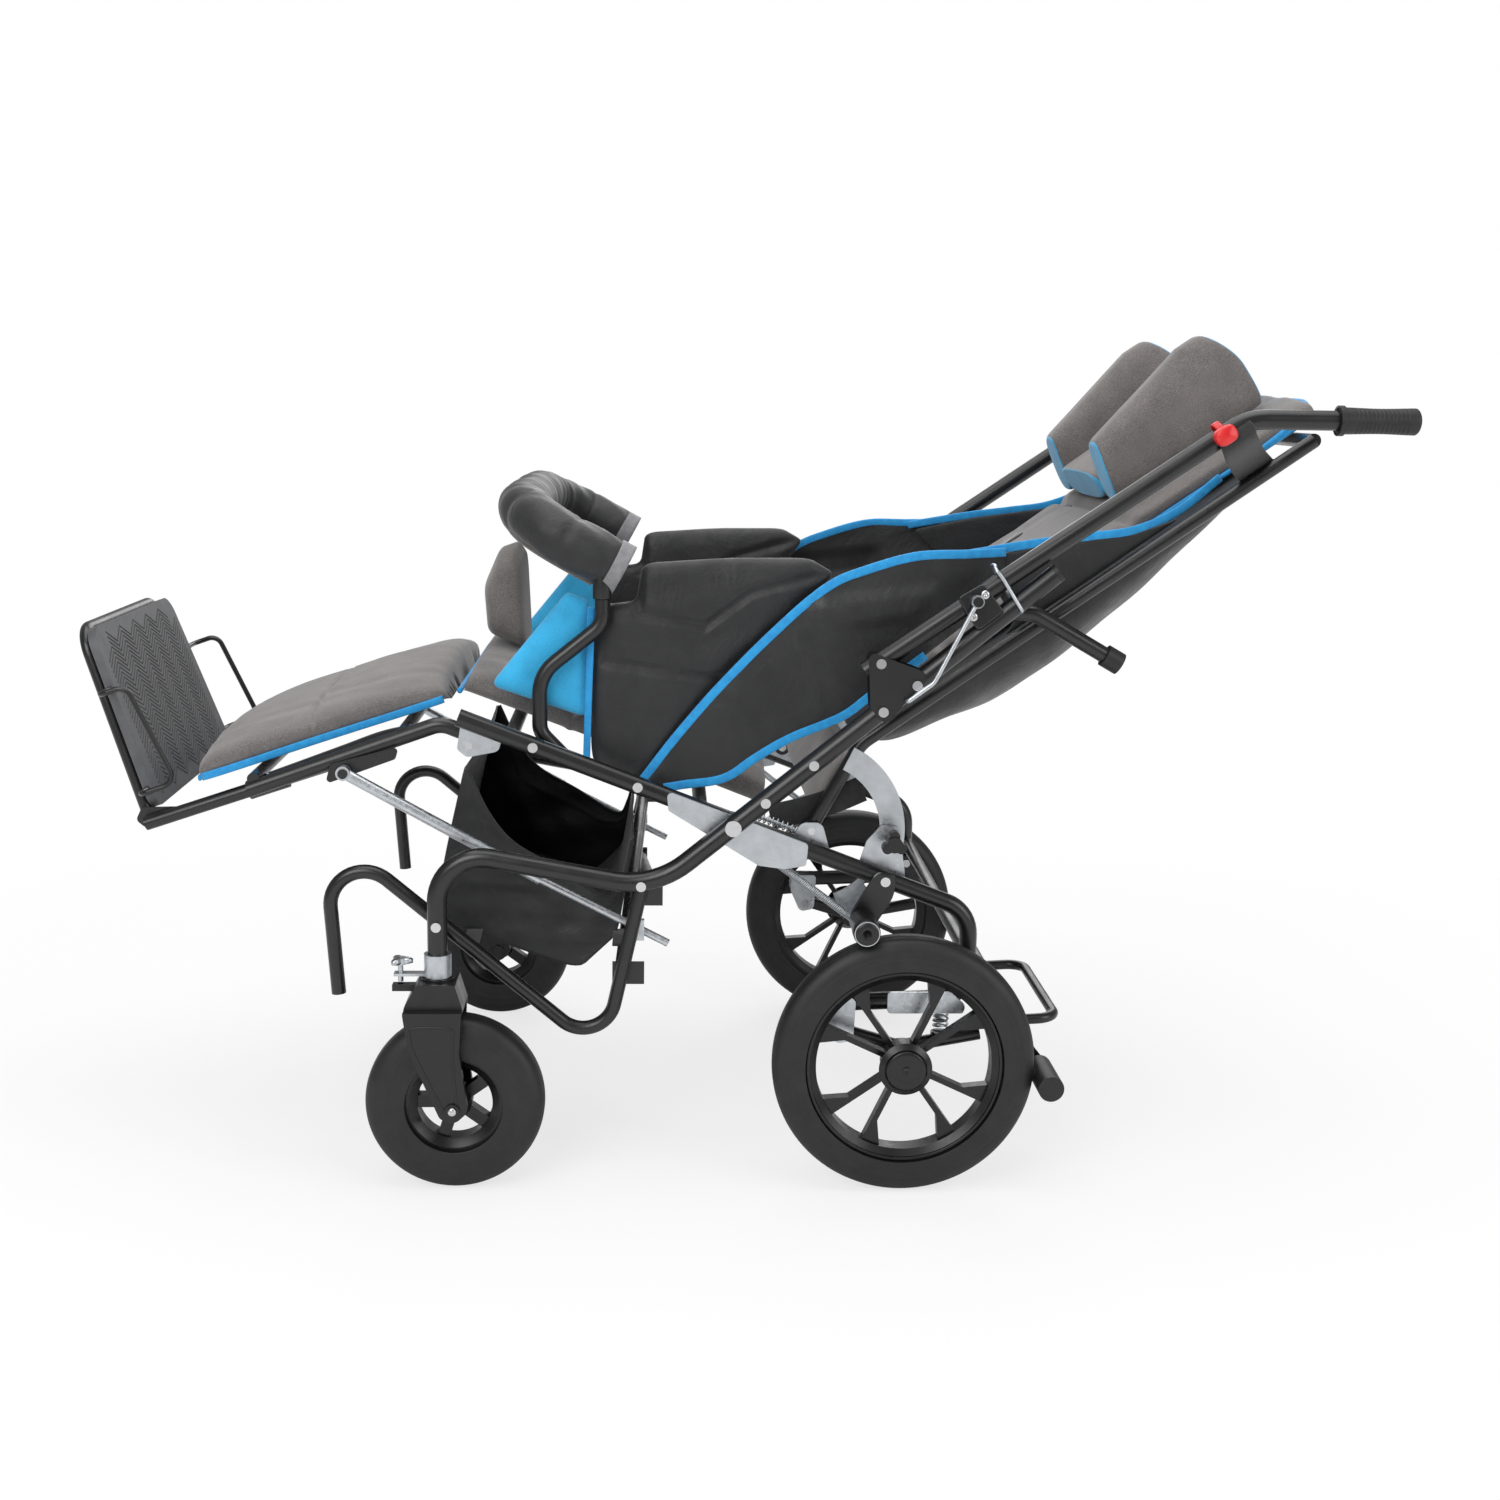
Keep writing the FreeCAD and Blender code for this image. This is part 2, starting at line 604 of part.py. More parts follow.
def main_frame():
    """The two main side tubes, the hook tubes, their braces, plates and fasteners."""
    stem = size("caster_stem_x")
    route = [
        (stem, size("stem_foot_height")),
        (stem, size("shoulder_height"), size("shoulder_bend")),
        (size("elbow_x"), size("elbow_height"), size("elbow_bend")),
        (size("side_tube_top_x"), side_line(size("side_tube_top_x"))),
    ]
    side = tube("side_tube", route, "side_tube_radius", "side_tube_lane")
    pivot = size("fold_pivot_x")
    bore = rod("side_tube_bore", pivot, side_line(pivot), "sizes.pivot_bolt_radius",
               "sizes.side_tube_lane - 20", "sizes.side_tube_lane + 20")
    stem_bore = doc.addObject("Part::Cylinder", "stem_bore")
    stem_bore.setExpression("Radius", "sizes.fork_stem_radius + sizes.bolt_clearance")
    stem_bore.Height = 30
    stem_bore.Placement = Placement(Vector(0, 0, size("stem_foot_height") - 1), Rotation())
    stem_bore.setExpression("Placement.Base.x", "sizes.rear_axle_x + sizes.caster_stem_x")
    stem_bore.setExpression("Placement.Base.y", "-sizes.side_tube_lane")
    side_tubes = pair("main_side_tubes", [drilled("side_tube_drilled", side, [bore, stem_bore])])

    hook = tube(
        "hook_tube",
        [
            (-633, 217),
            (-646, 406, size("hook_bend")),
            (-338, 146, size("cradle_bend")),
            (-293, size("elbow_height") + 4.6),
        ],
        "hook_radius",
        "hook_lane",
    )
    hooks = pair("hook_tubes", [hook])

    hinge = push_hinge()
    low, high = (-34, side_line(-34)), (2, side_line(2))
    gusset_outline = [
        (hinge[0] - 14, hinge[1] + 14, 7),
        (high[0] + 15, high[1] + 12, 8),
        (low[0] + 2, low[1] - 15, 8),
        (low[0] - 14, low[1] + 4, 6),
    ]
    hole = [(hinge[0], hinge[1], "knob_stud_radius", "")]
    gussets = [
        plate("gusset_outer", gusset_outline, "plate_thickness", "side_tube_lane", hole,
              " + sizes.side_tube_radius"),
        plate("gusset_inner", gusset_outline, "plate_thickness", "side_tube_lane", hole,
              " - sizes.side_tube_radius - sizes.plate_thickness"),
    ]
    gusset_plates = pair("handle_gussets", gussets)

    bolts = []
    outer_face = "sizes.side_tube_lane + sizes.side_tube_radius"
    inner_face = "sizes.side_tube_lane - sizes.side_tube_radius"
    seat_inner = "sizes.seat_tube_lane - sizes.seat_tube_radius - sizes.fit_gap"
    pivot_at = (pivot, side_line(pivot))
    shank = rod("pivot_shank", *pivot_at, "sizes.pivot_bolt_radius", seat_inner, outer_face)
    nut = rod("pivot_nut", *pivot_at, "sizes.pivot_bolt_radius + 3", f"{seat_inner} - 4",
              seat_inner)
    head = rod("pivot_head", *pivot_at, "sizes.pivot_bolt_radius + 4", outer_face,
               f"{outer_face} + 3")
    bolts.append(fused("pivot_bolt", [shank, nut, head]))
    plate_out = f"{outer_face} + sizes.plate_thickness"
    plate_in = f"{inner_face} - sizes.plate_thickness"
    hinge_shank = rod("hinge_shank", *hinge, "sizes.knob_stud_radius", plate_in, plate_out)
    hinge_head = rod("hinge_head", *hinge, "sizes.bolt_head", plate_out, f"{plate_out} + 3")
    bolts.append(fused("hinge_bolt", [hinge_shank, hinge_head]))
    for name, spot in (("gusset_low", low), ("gusset_high", high)):
        bolts.append(rod(name, *spot, "sizes.bolt_head", plate_out, f"{plate_out} + 3"))
    hook_out = "sizes.hook_lane + sizes.hook_radius"
    for name, x, z in (("stem_bolt", stem, 303),
                       ("hook_bolt", -295.5, size("elbow_height") + 4.6)):
        bolts.append(rod(f"{name}_spacer", x, z, "6", hook_out, inner_face))
        bolts.append(rod(f"{name}_head", x, z, "sizes.bolt_head", outer_face,
                         f"{outer_face} + 3"))
    for x in (-160, -108):
        bolts.append(rod(f"side_screw_{-x}", x, side_line(x), "sizes.bolt_head", outer_face,
                         f"{outer_face} + 3"))
    frame_bolts = pair("frame_bolts", bolts)

    face = size("hook_lane") - size("hook_radius")
    reach = face - size("plate_thickness") - 1.35
    lean = 45 / (size("elbow_height") + 4.6 - 146)
    low_end = Vector(-338 + lean * (238 - 146), -reach, 238)
    high_end = Vector(-338 + lean * (330 - 146), reach, 330)
    apart = 1.03 * (2 * size("brace_radius") + size("fit_gap"))
    braces = []
    for shift, turn in ((0, 1), (apart, -1)):
        a = Vector(low_end.x + shift, low_end.y * turn, low_end.z)
        b = Vector(high_end.x + shift, high_end.y * turn, high_end.z)
        bar = Part.makeCylinder(size("brace_radius"), (b - a).Length, a, b - a)
        braces.append(shape_part(f"brace_{'ab'[turn < 0]}", bar))
    for end, label in ((low_end, "low"), (high_end, "high")):
        for turn in (-1, 1):
            start = -face if turn < 0 else face - size("plate_thickness")
            lug = Part.makeBox(36, size("plate_thickness"), 26,
                               Vector(end.x - 10, start, end.z - 13))
            braces.append(shape_part(f"brace_lug_{label}_{'ab'[turn > 0]}", lug))
    cross_brace = group("cross_brace", braces)

    root = side_line(98)
    handle_end = (226, root - 54.7)
    handle_route = [(98, root), (134, root - 2.7, 24), handle_end]
    handle = tube("rear_handle", handle_route, "leg_tube_radius", "hook_lane")
    handle_spacer = rod("handle_spacer", 104, side_line(104), "5",
                        "sizes.hook_lane + sizes.leg_tube_radius", inner_face)
    rear_handles = pair("rear_handles", [handle, handle_spacer])

    top = size("side_tube_top_x")
    slope = size("side_tube_slope")
    fall = math.degrees(math.atan2(600 - 652, 226 - 134))
    caps = []
    for name, spot, angle, radius, lane, long in (
        ("top", (top, side_line(top)), slope, size("side_tube_radius"), "side_tube_lane", 5),
        ("handle", handle_end, fall, size("leg_tube_radius") + 3.5, "hook_lane", 20),
    ):
        back = polar(spot, angle, 0 if name == "top" else -14)
        direction = Vector(math.cos(math.radians(angle)), 0, math.sin(math.radians(angle)))
        cap = Part.makeCylinder(radius, long, Vector(back[0], 0, back[1]), direction)
        if name == "handle":
            core = Part.makeCylinder(size("leg_tube_radius"), 14, Vector(back[0], 0, back[1]),
                                     direction)
            cap = cap.cut(core)
        piece = doc.addObject("Part::Feature", f"{name}_cap")
        piece.Shape = cap
        place(piece, lane)
        caps.append(piece)
    rubber_caps = pair("rubber_caps", caps)

    foot = size("stem_foot_height")
    ring = Part.makeCylinder(15, foot + 8 - 244, Vector(stem, 0, 244))
    ring = ring.cut(Part.makeCylinder(size("side_tube_radius"), 8, Vector(stem, 0, foot)))
    ring = ring.cut(
        Part.makeCylinder(size("fork_stem_radius") + size("bolt_clearance"), 40,
                          Vector(stem, 0, 230))
    )
    strip = Part.makeBox(36, 12, 3, Vector(stem - 48, -6, 245))
    strip = strip.cut(Part.makeCylinder(12, 8, Vector(stem, 0, 243)))
    strip = strip.cut(Part.makeCylinder(3.05, 20, Vector(stem - 41, 0, 236)))
    collar = doc.addObject("Part::Feature", "collar")
    collar.Shape = ring.fuse(strip)
    place(collar, "side_tube_lane")
    clamp_block = Part.makeBox(20, 7, 24, Vector(size("clamp_x") - 12, 0,
                                                 size("clamp_height") - 12))
    clamp_block = clamp_block.cut(
        Part.makeCylinder(3, 9, Vector(size("clamp_x") - 6, -1, size("clamp_height")),
                          Vector(0, 1, 0))
    )
    clamp = doc.addObject("Part::Feature", "clamp_block")
    clamp.Shape = clamp_block
    place(clamp, "hook_lane", " - sizes.hook_radius")
    collars = pair("collars_and_clamps", [collar, clamp])
    return [side_tubes, hooks, gusset_plates, frame_bolts, cross_brace, rear_handles,
            rubber_caps, collars]


def caster():
    """One caster: fork with its stem, axle bolt, wheel, tyre and the swivel lock pin."""
    stem, wheel_x = size("caster_stem_x"), size("front_wheel_x")
    radius = size("front_wheel_radius")
    half = size("front_tyre_width") / 2 + size("fork_slot_gap")
    blade = size("fork_blade")
    outline = [
        (-541, 241, 3), (-556, 214, 18), (-550, 170, 20), (-516, 90, 10), (-500, 84, 12),
        (-485, 98, 12), (-494, 165, 30), (-491, 215, 18), (-499, 241, 3),
    ]
    side = Part.Face(Part.Wire([e.toShape() for e in rounded(outline, closed=True)]))
    side.Placement = Placement(Vector(0, half + blade, 0), Rotation(Vector(1, 0, 0), 90))
    body = side.extrude(Vector(0, -2 * (half + blade), 0))
    slot = Part.makeCylinder(radius + 8, 2 * half, Vector(wheel_x, -half, radius),
                             Vector(0, 1, 0))
    body = body.cut(slot)
    lug = Part.makeBox(30, 12, 7, Vector(stem - 50, -6, 228))
    lug = lug.cut(Part.makeCylinder(3.4, 20, Vector(stem - 41, 0, 220)))
    taper = Part.makeBox(200, 40, 60, Vector(stem - 100, half + blade - 10, 212))
    for turn in (1, -1):
        cutter = taper.copy()
        if turn < 0:
            cutter = cutter.mirror(Vector(0, 0, 0), Vector(0, 1, 0))
        body = body.cut(cutter)
    axle = size("front_axle_radius")
    body = body.cut(Part.makeCylinder(axle, 4 * half, Vector(wheel_x, -2 * half, radius),
                                      Vector(0, 1, 0)))
    neck = Part.makeCylinder(18, 2.5, Vector(stem, 0, 241))
    post = Part.makeCylinder(size("fork_stem_radius"), 50, Vector(stem, 0, 240))
    body = body.fuse([lug, neck, post]).removeSplitter()
    fork = doc.addObject("Part::Feature", "fork")
    fork.Shape = body
    place(fork, "side_tube_lane")
    pin = Part.makeCylinder(axle, 2 * (half + blade) + 4,
                            Vector(wheel_x, -half - blade - 2, radius), Vector(0, 1, 0))
    heads = [
        Part.makeCylinder(8, 3, Vector(wheel_x, y, radius), Vector(0, 1, 0))
        for y in (-half - blade - 3, half + blade)
    ]
    bolt = doc.addObject("Part::Feature", "fork_bolt")
    bolt.Shape = pin.fuse(heads)
    place(bolt, "side_tube_lane")
    forks = both_sides("caster_fork", [fork, bolt])

    wheel = doc.addObject("PartDesign::Body", "front_wheel")
    rim = size("front_rim_radius")
    spokes = [(36 + 72 * k, 7, 0) for k in range(5)]
    star(wheel, "front_wheel", spokes, 17, rim - 12, 16)
    bore = axle + size("bolt_clearance")
    hub_half = half - 1
    turned(wheel, "front_wheel", [
        [(-hub_half, bore), (hub_half, bore), (hub_half, 12), (10, 19), (-10, 19),
         (-hub_half, 12)],
        [(-18, rim), (-18, rim - 5), (-11, rim - 14), (11, rim - 14), (18, rim - 5),
         (18, rim)],
    ])
    at_wheel(wheel, "sizes.front_wheel_x", "side_tube_lane", "front_wheel_radius")
    rubber = tyre("front_tyre", "front_wheel_radius", "front_rim_radius", "front_tyre_width")
    at_wheel(rubber, "sizes.front_wheel_x", "side_tube_lane", "front_wheel_radius")

    lock = Part.makeCylinder(3, 26, Vector(stem - 41, 0, 238))
    head = Part.makeCylinder(7, 7, Vector(stem - 41, 0, 258))
    pin = doc.addObject("Part::Feature", "lock_pin")
    pin.Shape = lock.fuse(head).removeSplitter()
    place(pin, "side_tube_lane")
    return (forks + both_sides("front_wheel", [wheel]) + both_sides("front_tyre", [rubber])
            + both_sides("caster_lock_pin", [pin]))


def rear_wheels():
    """One rear wheel: hub, four pairs of webbed spokes, rim, cap and tyre."""
    wheel = doc.addObject("PartDesign::Body", "rear_wheel")
    rim, hub = size("rear_rim_radius"), size("rear_hub_radius")
    spokes = []
    for pair_angle in (50, 140, 230, 320):
        spokes += [(pair_angle - 15, 3.2, -9), (pair_angle + 15, 3.2, 9)]
    star(wheel, "rear_wheel", spokes, hub - 2, rim - 11, 14)
    bore = size("axle_radius") + size("bolt_clearance")
    half = size("rear_hub_half")
    turned(wheel, "rear_wheel", [
        [(-half, bore), (half, bore), (half, 15), (10, hub), (-10, hub), (-half, hub)],
        [(-17, rim), (-17, rim - 6), (-11, rim - 13), (11, rim - 13), (17, rim - 6),
         (17, rim)],
    ])
    at_wheel(wheel, "0", "rear_track", "rear_wheel_radius")
    cap = Part.makeCone(hub + 5, hub - 3, 6, Vector(0, -half, 0), Vector(0, -1, 0))
    cover = doc.addObject("Part::Feature", "hub_cap")
    cover.Shape = cap
    at_wheel(cover, "0", "rear_track", "rear_wheel_radius")
    rubber = tyre("rear_tyre", "rear_wheel_radius", "rear_rim_radius", "rear_tyre_width")
    at_wheel(rubber, "0", "rear_track", "rear_wheel_radius")
    return both_sides("rear_wheel", [wheel, cover]) + both_sides("rear_tyre", [rubber])


def swing_arms():
    """The sprung arm of each rear wheel with its axle boss, axle and spring cup."""
    route = [
        (size("arm_pivot_x"), size("arm_pivot_height")),
        (0, size("rear_wheel_radius") + 4, 40),
        (size("arm_tail_x"), size("arm_tail_height")),
    ]
    bar = tube("arm_tube", route, "arm_radius", "seat_tube_lane", wall=None)
    inner = "sizes.seat_tube_lane - 10"
    hub_inner = "sizes.rear_track - sizes.rear_hub_half - 1"
    height = size("rear_wheel_radius")
    boss = rod("axle_boss", 0, height, "sizes.axle_radius + 5", inner, hub_inner)
    axle = rod("rear_axle", 0, height, "sizes.axle_radius", inner,
               "sizes.rear_track + sizes.rear_hub_half - 1")
    pivot = (size("arm_pivot_x"), size("arm_pivot_height"))
    eye = rod("arm_eye", *pivot, "sizes.arm_radius + 2", inner, "sizes.seat_tube_lane + 10")
    cup = doc.addObject("Part::Feature", "arm_spring_cup")
    cup.Shape = Part.makeCylinder(11, 6, Vector(size("spring_x"), 0, size("spring_foot") - 6))
    place(cup, "seat_tube_lane")
    whole = fused("arm_whole", [bar, boss, axle, eye, cup])
    bore = rod("arm_bore", *pivot, "sizes.rod_bolt_radius + sizes.bolt_clearance",
               f"{inner} - 2", "sizes.seat_tube_lane + 12")
    return both_sides("swing_arm", [drilled("swing_arm", whole, [bore])])


def seat_frame():
    """Seat side tubes with the rear legs, their cross tubes, plates, bolts and sockets."""
    front, leg = size("seat_front_x"), size("leg_x")
    route = [
        (front, seat_line(front)),
        (leg, seat_line(leg), size("leg_bend")),
        (leg, size("leg_foot_height"), size("leg_foot_bend")),
        (size("leg_toe_x"), size("leg_toe_height")),
    ]
    side = tube("seat_tube", route, "seat_tube_radius", "seat_tube_lane")
    pivot = (size("fold_pivot_x"), side_line(size("fold_pivot_x")))
    bore = rod("seat_bore", *pivot, "sizes.pivot_bolt_radius + sizes.bolt_clearance",
               "sizes.seat_tube_lane - 15", "sizes.seat_tube_lane + 15")
    side_tubes = pair("seat_side_tubes", [drilled("seat_tube_drilled", side, [bore])])

    crosses = []
    inner = "sizes.seat_tube_lane - sizes.seat_tube_radius"
    for name, x, z in (
        ("front_cross", -440, seat_line(-440)),
        ("middle_cross", -230, seat_line(-230)),
        ("rear_cross", leg, 262),
    ):
        bar = doc.addObject("Part::Cylinder", name)
        bar.setExpression("Radius", "sizes.seat_cross_radius")
        bar.setExpression("Height", f"2 * ({inner})")
        bar.Placement = Placement(Vector(0, 0, z), Rotation(Vector(1, 0, 0), 90))
        bar.setExpression("Placement.Base.x", f"sizes.rear_axle_x + ({x})")
        bar.setExpression("Placement.Base.y", inner)
        crosses.append(bar)
    cross_tubes = group("seat_cross_tubes", crosses)

    recline = (size("recline_x"), size("recline_height"))
    knee = (size("knee_x"), size("knee_height"))
    stud = polar(recline, size("stud_angle"), size("quadrant_slot_radius"))
    out = " + sizes.seat_tube_radius"
    into = " - sizes.seat_tube_radius - sizes.plate_thickness"
    toe = (size("leg_toe_x"), size("leg_toe_height"))
    arm = (size("arm_pivot_x"), size("arm_pivot_height"))
    hanger = [
        (toe[0] - 12, toe[1] + 8, 5), (toe[0] + 22, toe[1] + 8, 5),
        (arm[0] + 12, arm[1] - 8, 8), (arm[0] - 8, arm[1] - 12, 8), (toe[0] - 14, toe[1] - 14, 5),
    ]
    link = [
        (knee[0] - 13, knee[1] - 4, 6), (knee[0] - 2, knee[1] - 13, 8), (-454, 491, 8),
        (-449, seat_line(-449), 4), (-494, seat_line(-494), 5),
    ]
    plates = [
        plate("under_plate",
              [(-268, seat_line(-268) + 9, 5), (-110, seat_line(-110) + 9, 5), (-112, 368, 4),
               (-136, 364, 5), (-165, 368, 8), (-266, 430, 5)],
              "plate_thickness", "seat_tube_lane",
              [(*pivot, "pivot_bolt_radius", " + sizes.bolt_clearance")], out),
        plate("spring_plate",
              [(-16, 221, 4), (56, 221, 4), (74, 205, 8), (70, 196, 3), (-16, 196, 4)],
              "plate_thickness", "seat_tube_lane", (), out),
        plate("arm_hanger_outer", hanger, "plate_thickness", "seat_tube_lane",
              [(*arm, "rod_bolt_radius", "")], out + " + 0.5"),
        plate("arm_hanger_inner", hanger, "plate_thickness", "seat_tube_lane",
              [(*arm, "rod_bolt_radius", "")], into + " - 0.5"),
        plate("recline_bracket",
              [(-52, seat_line(-52), 4), (-42, 392, 10), (-26, 410, 8), (-6, 408, 8),
               (4, seat_line(4), 4)],
              "plate_thickness", "seat_tube_lane",
              [(*stud, "knob_stud_radius", " + sizes.bolt_clearance")], into),
        plate("recline_pivot_bracket",
              [(-128, seat_line(-128), 4), (-117, 412, 10), (-93, 412, 10),
               (-82, seat_line(-82), 4)],
              "plate_thickness", "seat_tube_lane",
              [(*recline, "knob_stud_radius", "")], into),
        plate("knee_link", link, "plate_thickness", "seat_tube_lane",
              [(*knee, "knob_stud_radius", "")], into),
    ]
    spring_top = doc.addObject("Part::Feature", "spring_top_cup")
    spring_top.Shape = Part.makeCylinder(
        size("seat_tube_radius"), 2.9, Vector(size("spring_x"), 0, size("spring_head"))
    )
    place(spring_top, "seat_tube_lane")
    anchor = rod("spring_anchor", -147, 371, "sizes.spring_stud_radius",
                 "sizes.seat_tube_lane - 3", "sizes.seat_tube_lane + sizes.seat_tube_radius")
    seat_frame_plates = pair("seat_frame_plates", plates + [spring_top, anchor])

    seat_out = "sizes.seat_tube_lane + sizes.seat_tube_radius"
    plate_in = f"{inner} - sizes.plate_thickness"
    bolts = []
    for name, x, z in (("front_screw", -415, 0), ("rear_screw", -300, 0)):
        bolts.append(rod(name, x, seat_line(x) + z, "sizes.bolt_head", seat_out,
                         f"{seat_out} + 3"))
    brake = size("brake_pivot_x")
    tip = f"{seat_out} + sizes.brake_lane_gap + sizes.plate_thickness + sizes.fit_gap"
    brake_shank = rod("brake_shank", brake, seat_line(brake), "sizes.knob_stud_radius",
                      seat_out, tip)
    brake_head = rod("brake_head", brake, seat_line(brake), "sizes.bolt_head", tip,
                     f"{tip} + 2")
    bolts.append(fused("brake_bolt", [brake_shank, brake_head]))
    lane_in = "sizes.back_tube_lane - sizes.back_tube_radius - sizes.fit_gap"
    shank = rod("recline_shank", *recline, "sizes.knob_stud_radius", lane_in, inner)
    head = rod("recline_head", *recline, "sizes.bolt_head", f"{lane_in} - 3", lane_in)
    bolts.append(fused("recline_bolt", [shank, head]))
    lane_in = "sizes.leg_tube_lane - sizes.leg_tube_radius - sizes.fit_gap"
    shank = rod("knee_shank", *knee, "sizes.knob_stud_radius", lane_in, inner)
    head = rod("knee_head", *knee, "sizes.bolt_head", f"{lane_in} - 3", lane_in)
    bolts.append(fused("knee_bolt", [shank, head]))
    pedal = (leg, size("pedal_pivot_height"))
    shank = rod("pedal_shank", *pedal, "sizes.knob_stud_radius",
                "sizes.pedal_lane - sizes.fit_gap", inner)
    head = rod("pedal_head", *pedal, "sizes.bolt_head", "sizes.pedal_lane - sizes.fit_gap - 2",
               "sizes.pedal_lane - sizes.fit_gap")
    bolts.append(fused("pedal_bolt", [shank, head]))
    shank = rod("arm_shank", *arm, "sizes.rod_bolt_radius", f"{plate_in} - 0.5",
                f"{seat_out} + sizes.plate_thickness + 0.5")
    head = rod("arm_head", *arm, "sizes.bolt_head", f"{plate_in} - 2.5", f"{plate_in} - 0.5")
    bolts.append(fused("arm_bolt", [shank, head]))
    seat_frame_bolts = pair("seat_frame_bolts", bolts)

    height = size("bar_socket_height")
    foot = seat_line(-380) - 4.2
    tall = (height - foot) / 178
    socket = tube(
        "socket_tube",
        [(-380, foot), (-409, foot + 30 * tall, 22), (-409, foot + 94 * tall, 45),
         (size("bar_pivot_x"), foot + 150 * tall, 26), (size("bar_pivot_x"), height)],
        "socket_radius", "socket_lane", wall=None,
    )
    stub = rod("socket_stub", -384, foot + 4, "6", "sizes.socket_lane",
               "sizes.seat_tube_lane - sizes.seat_tube_radius")
    left_socket = fused("left_socket", [socket, stub])
    pin = rod("bar_pin", size("bar_pivot_x"), height, "5", "0", "1")
    pin.Placement = Placement(Vector(0, 0, height), Rotation())
    pin.setExpression("Placement.Base.x", f"sizes.rear_axle_x + ({size('bar_pivot_x')})")
    pin.setExpression("Placement.Base.y", "sizes.socket_lane")
    pin.setExpression("Height", "sizes.bar_pin_length")
    right_socket = fused("right_socket", [mirrored(left_socket, "right_socket_tube"), pin])
    bar_sockets = group("bar_sockets", [left_socket, right_socket])

    springs = doc.addObject("Part::Feature", "spring_coil")
    gap = size("spring_wire_radius") + size("fit_gap")
    springs.Shape = spring(
        Vector(size("spring_x"), 0, size("spring_foot") + gap),
        Vector(size("spring_x"), 0, size("spring_head") - gap),
        size("spring_coil_radius"), size("spring_wire_radius"), size("spring_turns"),
    )
    place(springs, "seat_tube_lane")
    suspension = pair("suspension_springs", [springs])
    return [side_tubes, cross_tubes, seat_frame_plates, seat_frame_bolts, bar_sockets, suspension]


def seat_soft_parts():
    """Seat pad, padded side panels with their front wedges, and the abduction block."""
    slope = -size("seat_slope")
    base = size("seat_cross_radius") + size("fit_gap")
    low = polar((-505, seat_line(-505)), slope + 90, base)
    high = polar((-165, seat_line(-165)), slope + 90, base)
    seat_pad = shape_part("seat_pad", cushion(
        low, high, 1, size("seat_pad_thickness"), size("seat_half_width"),
        channelled((0.35, 0.65)),
    ))
    outline = [
        (-296, 446, 12), (-352, 474, 10), (-348, 648, 12), (-292, 656, 6), (-290, 702, 10),
        (-104, 702, 8), (-145, 632, 50), (-206, 569, 60), (-259, 505, 60),
    ]
    panel = shape_part("side_panel", padded_panel(
        outline, size("panel_inner"), size("panel_outer"), 7
    ))
    place(panel)
    wedge = plate("panel_wedge",
                  [(-372, 655, 6), (-348.6, 646, 4), (-351.2, 530, 6), (-462, 566, 8)],
                  "wedge_thickness", "panel_inner", (), " + 14")
    panels = both_sides("side_panel", [panel, wedge])
    seat_top = base + size("seat_pad_thickness") + size("crown") + size("fit_gap")
    foot = [polar((x, seat_line(x)), slope + 90, seat_top) for x in (-508, -456)]
    block = shape_part("abduction_block", padded_panel(
        [(*foot[1], 6), (*foot[0], 8), (-488, 650, 20), (-470, 694, 10), (-450, 702, 8),
         (-438, 686, 10)],
        -65, 65, 12,
    ))
    return [seat_pad] + panels + [block]


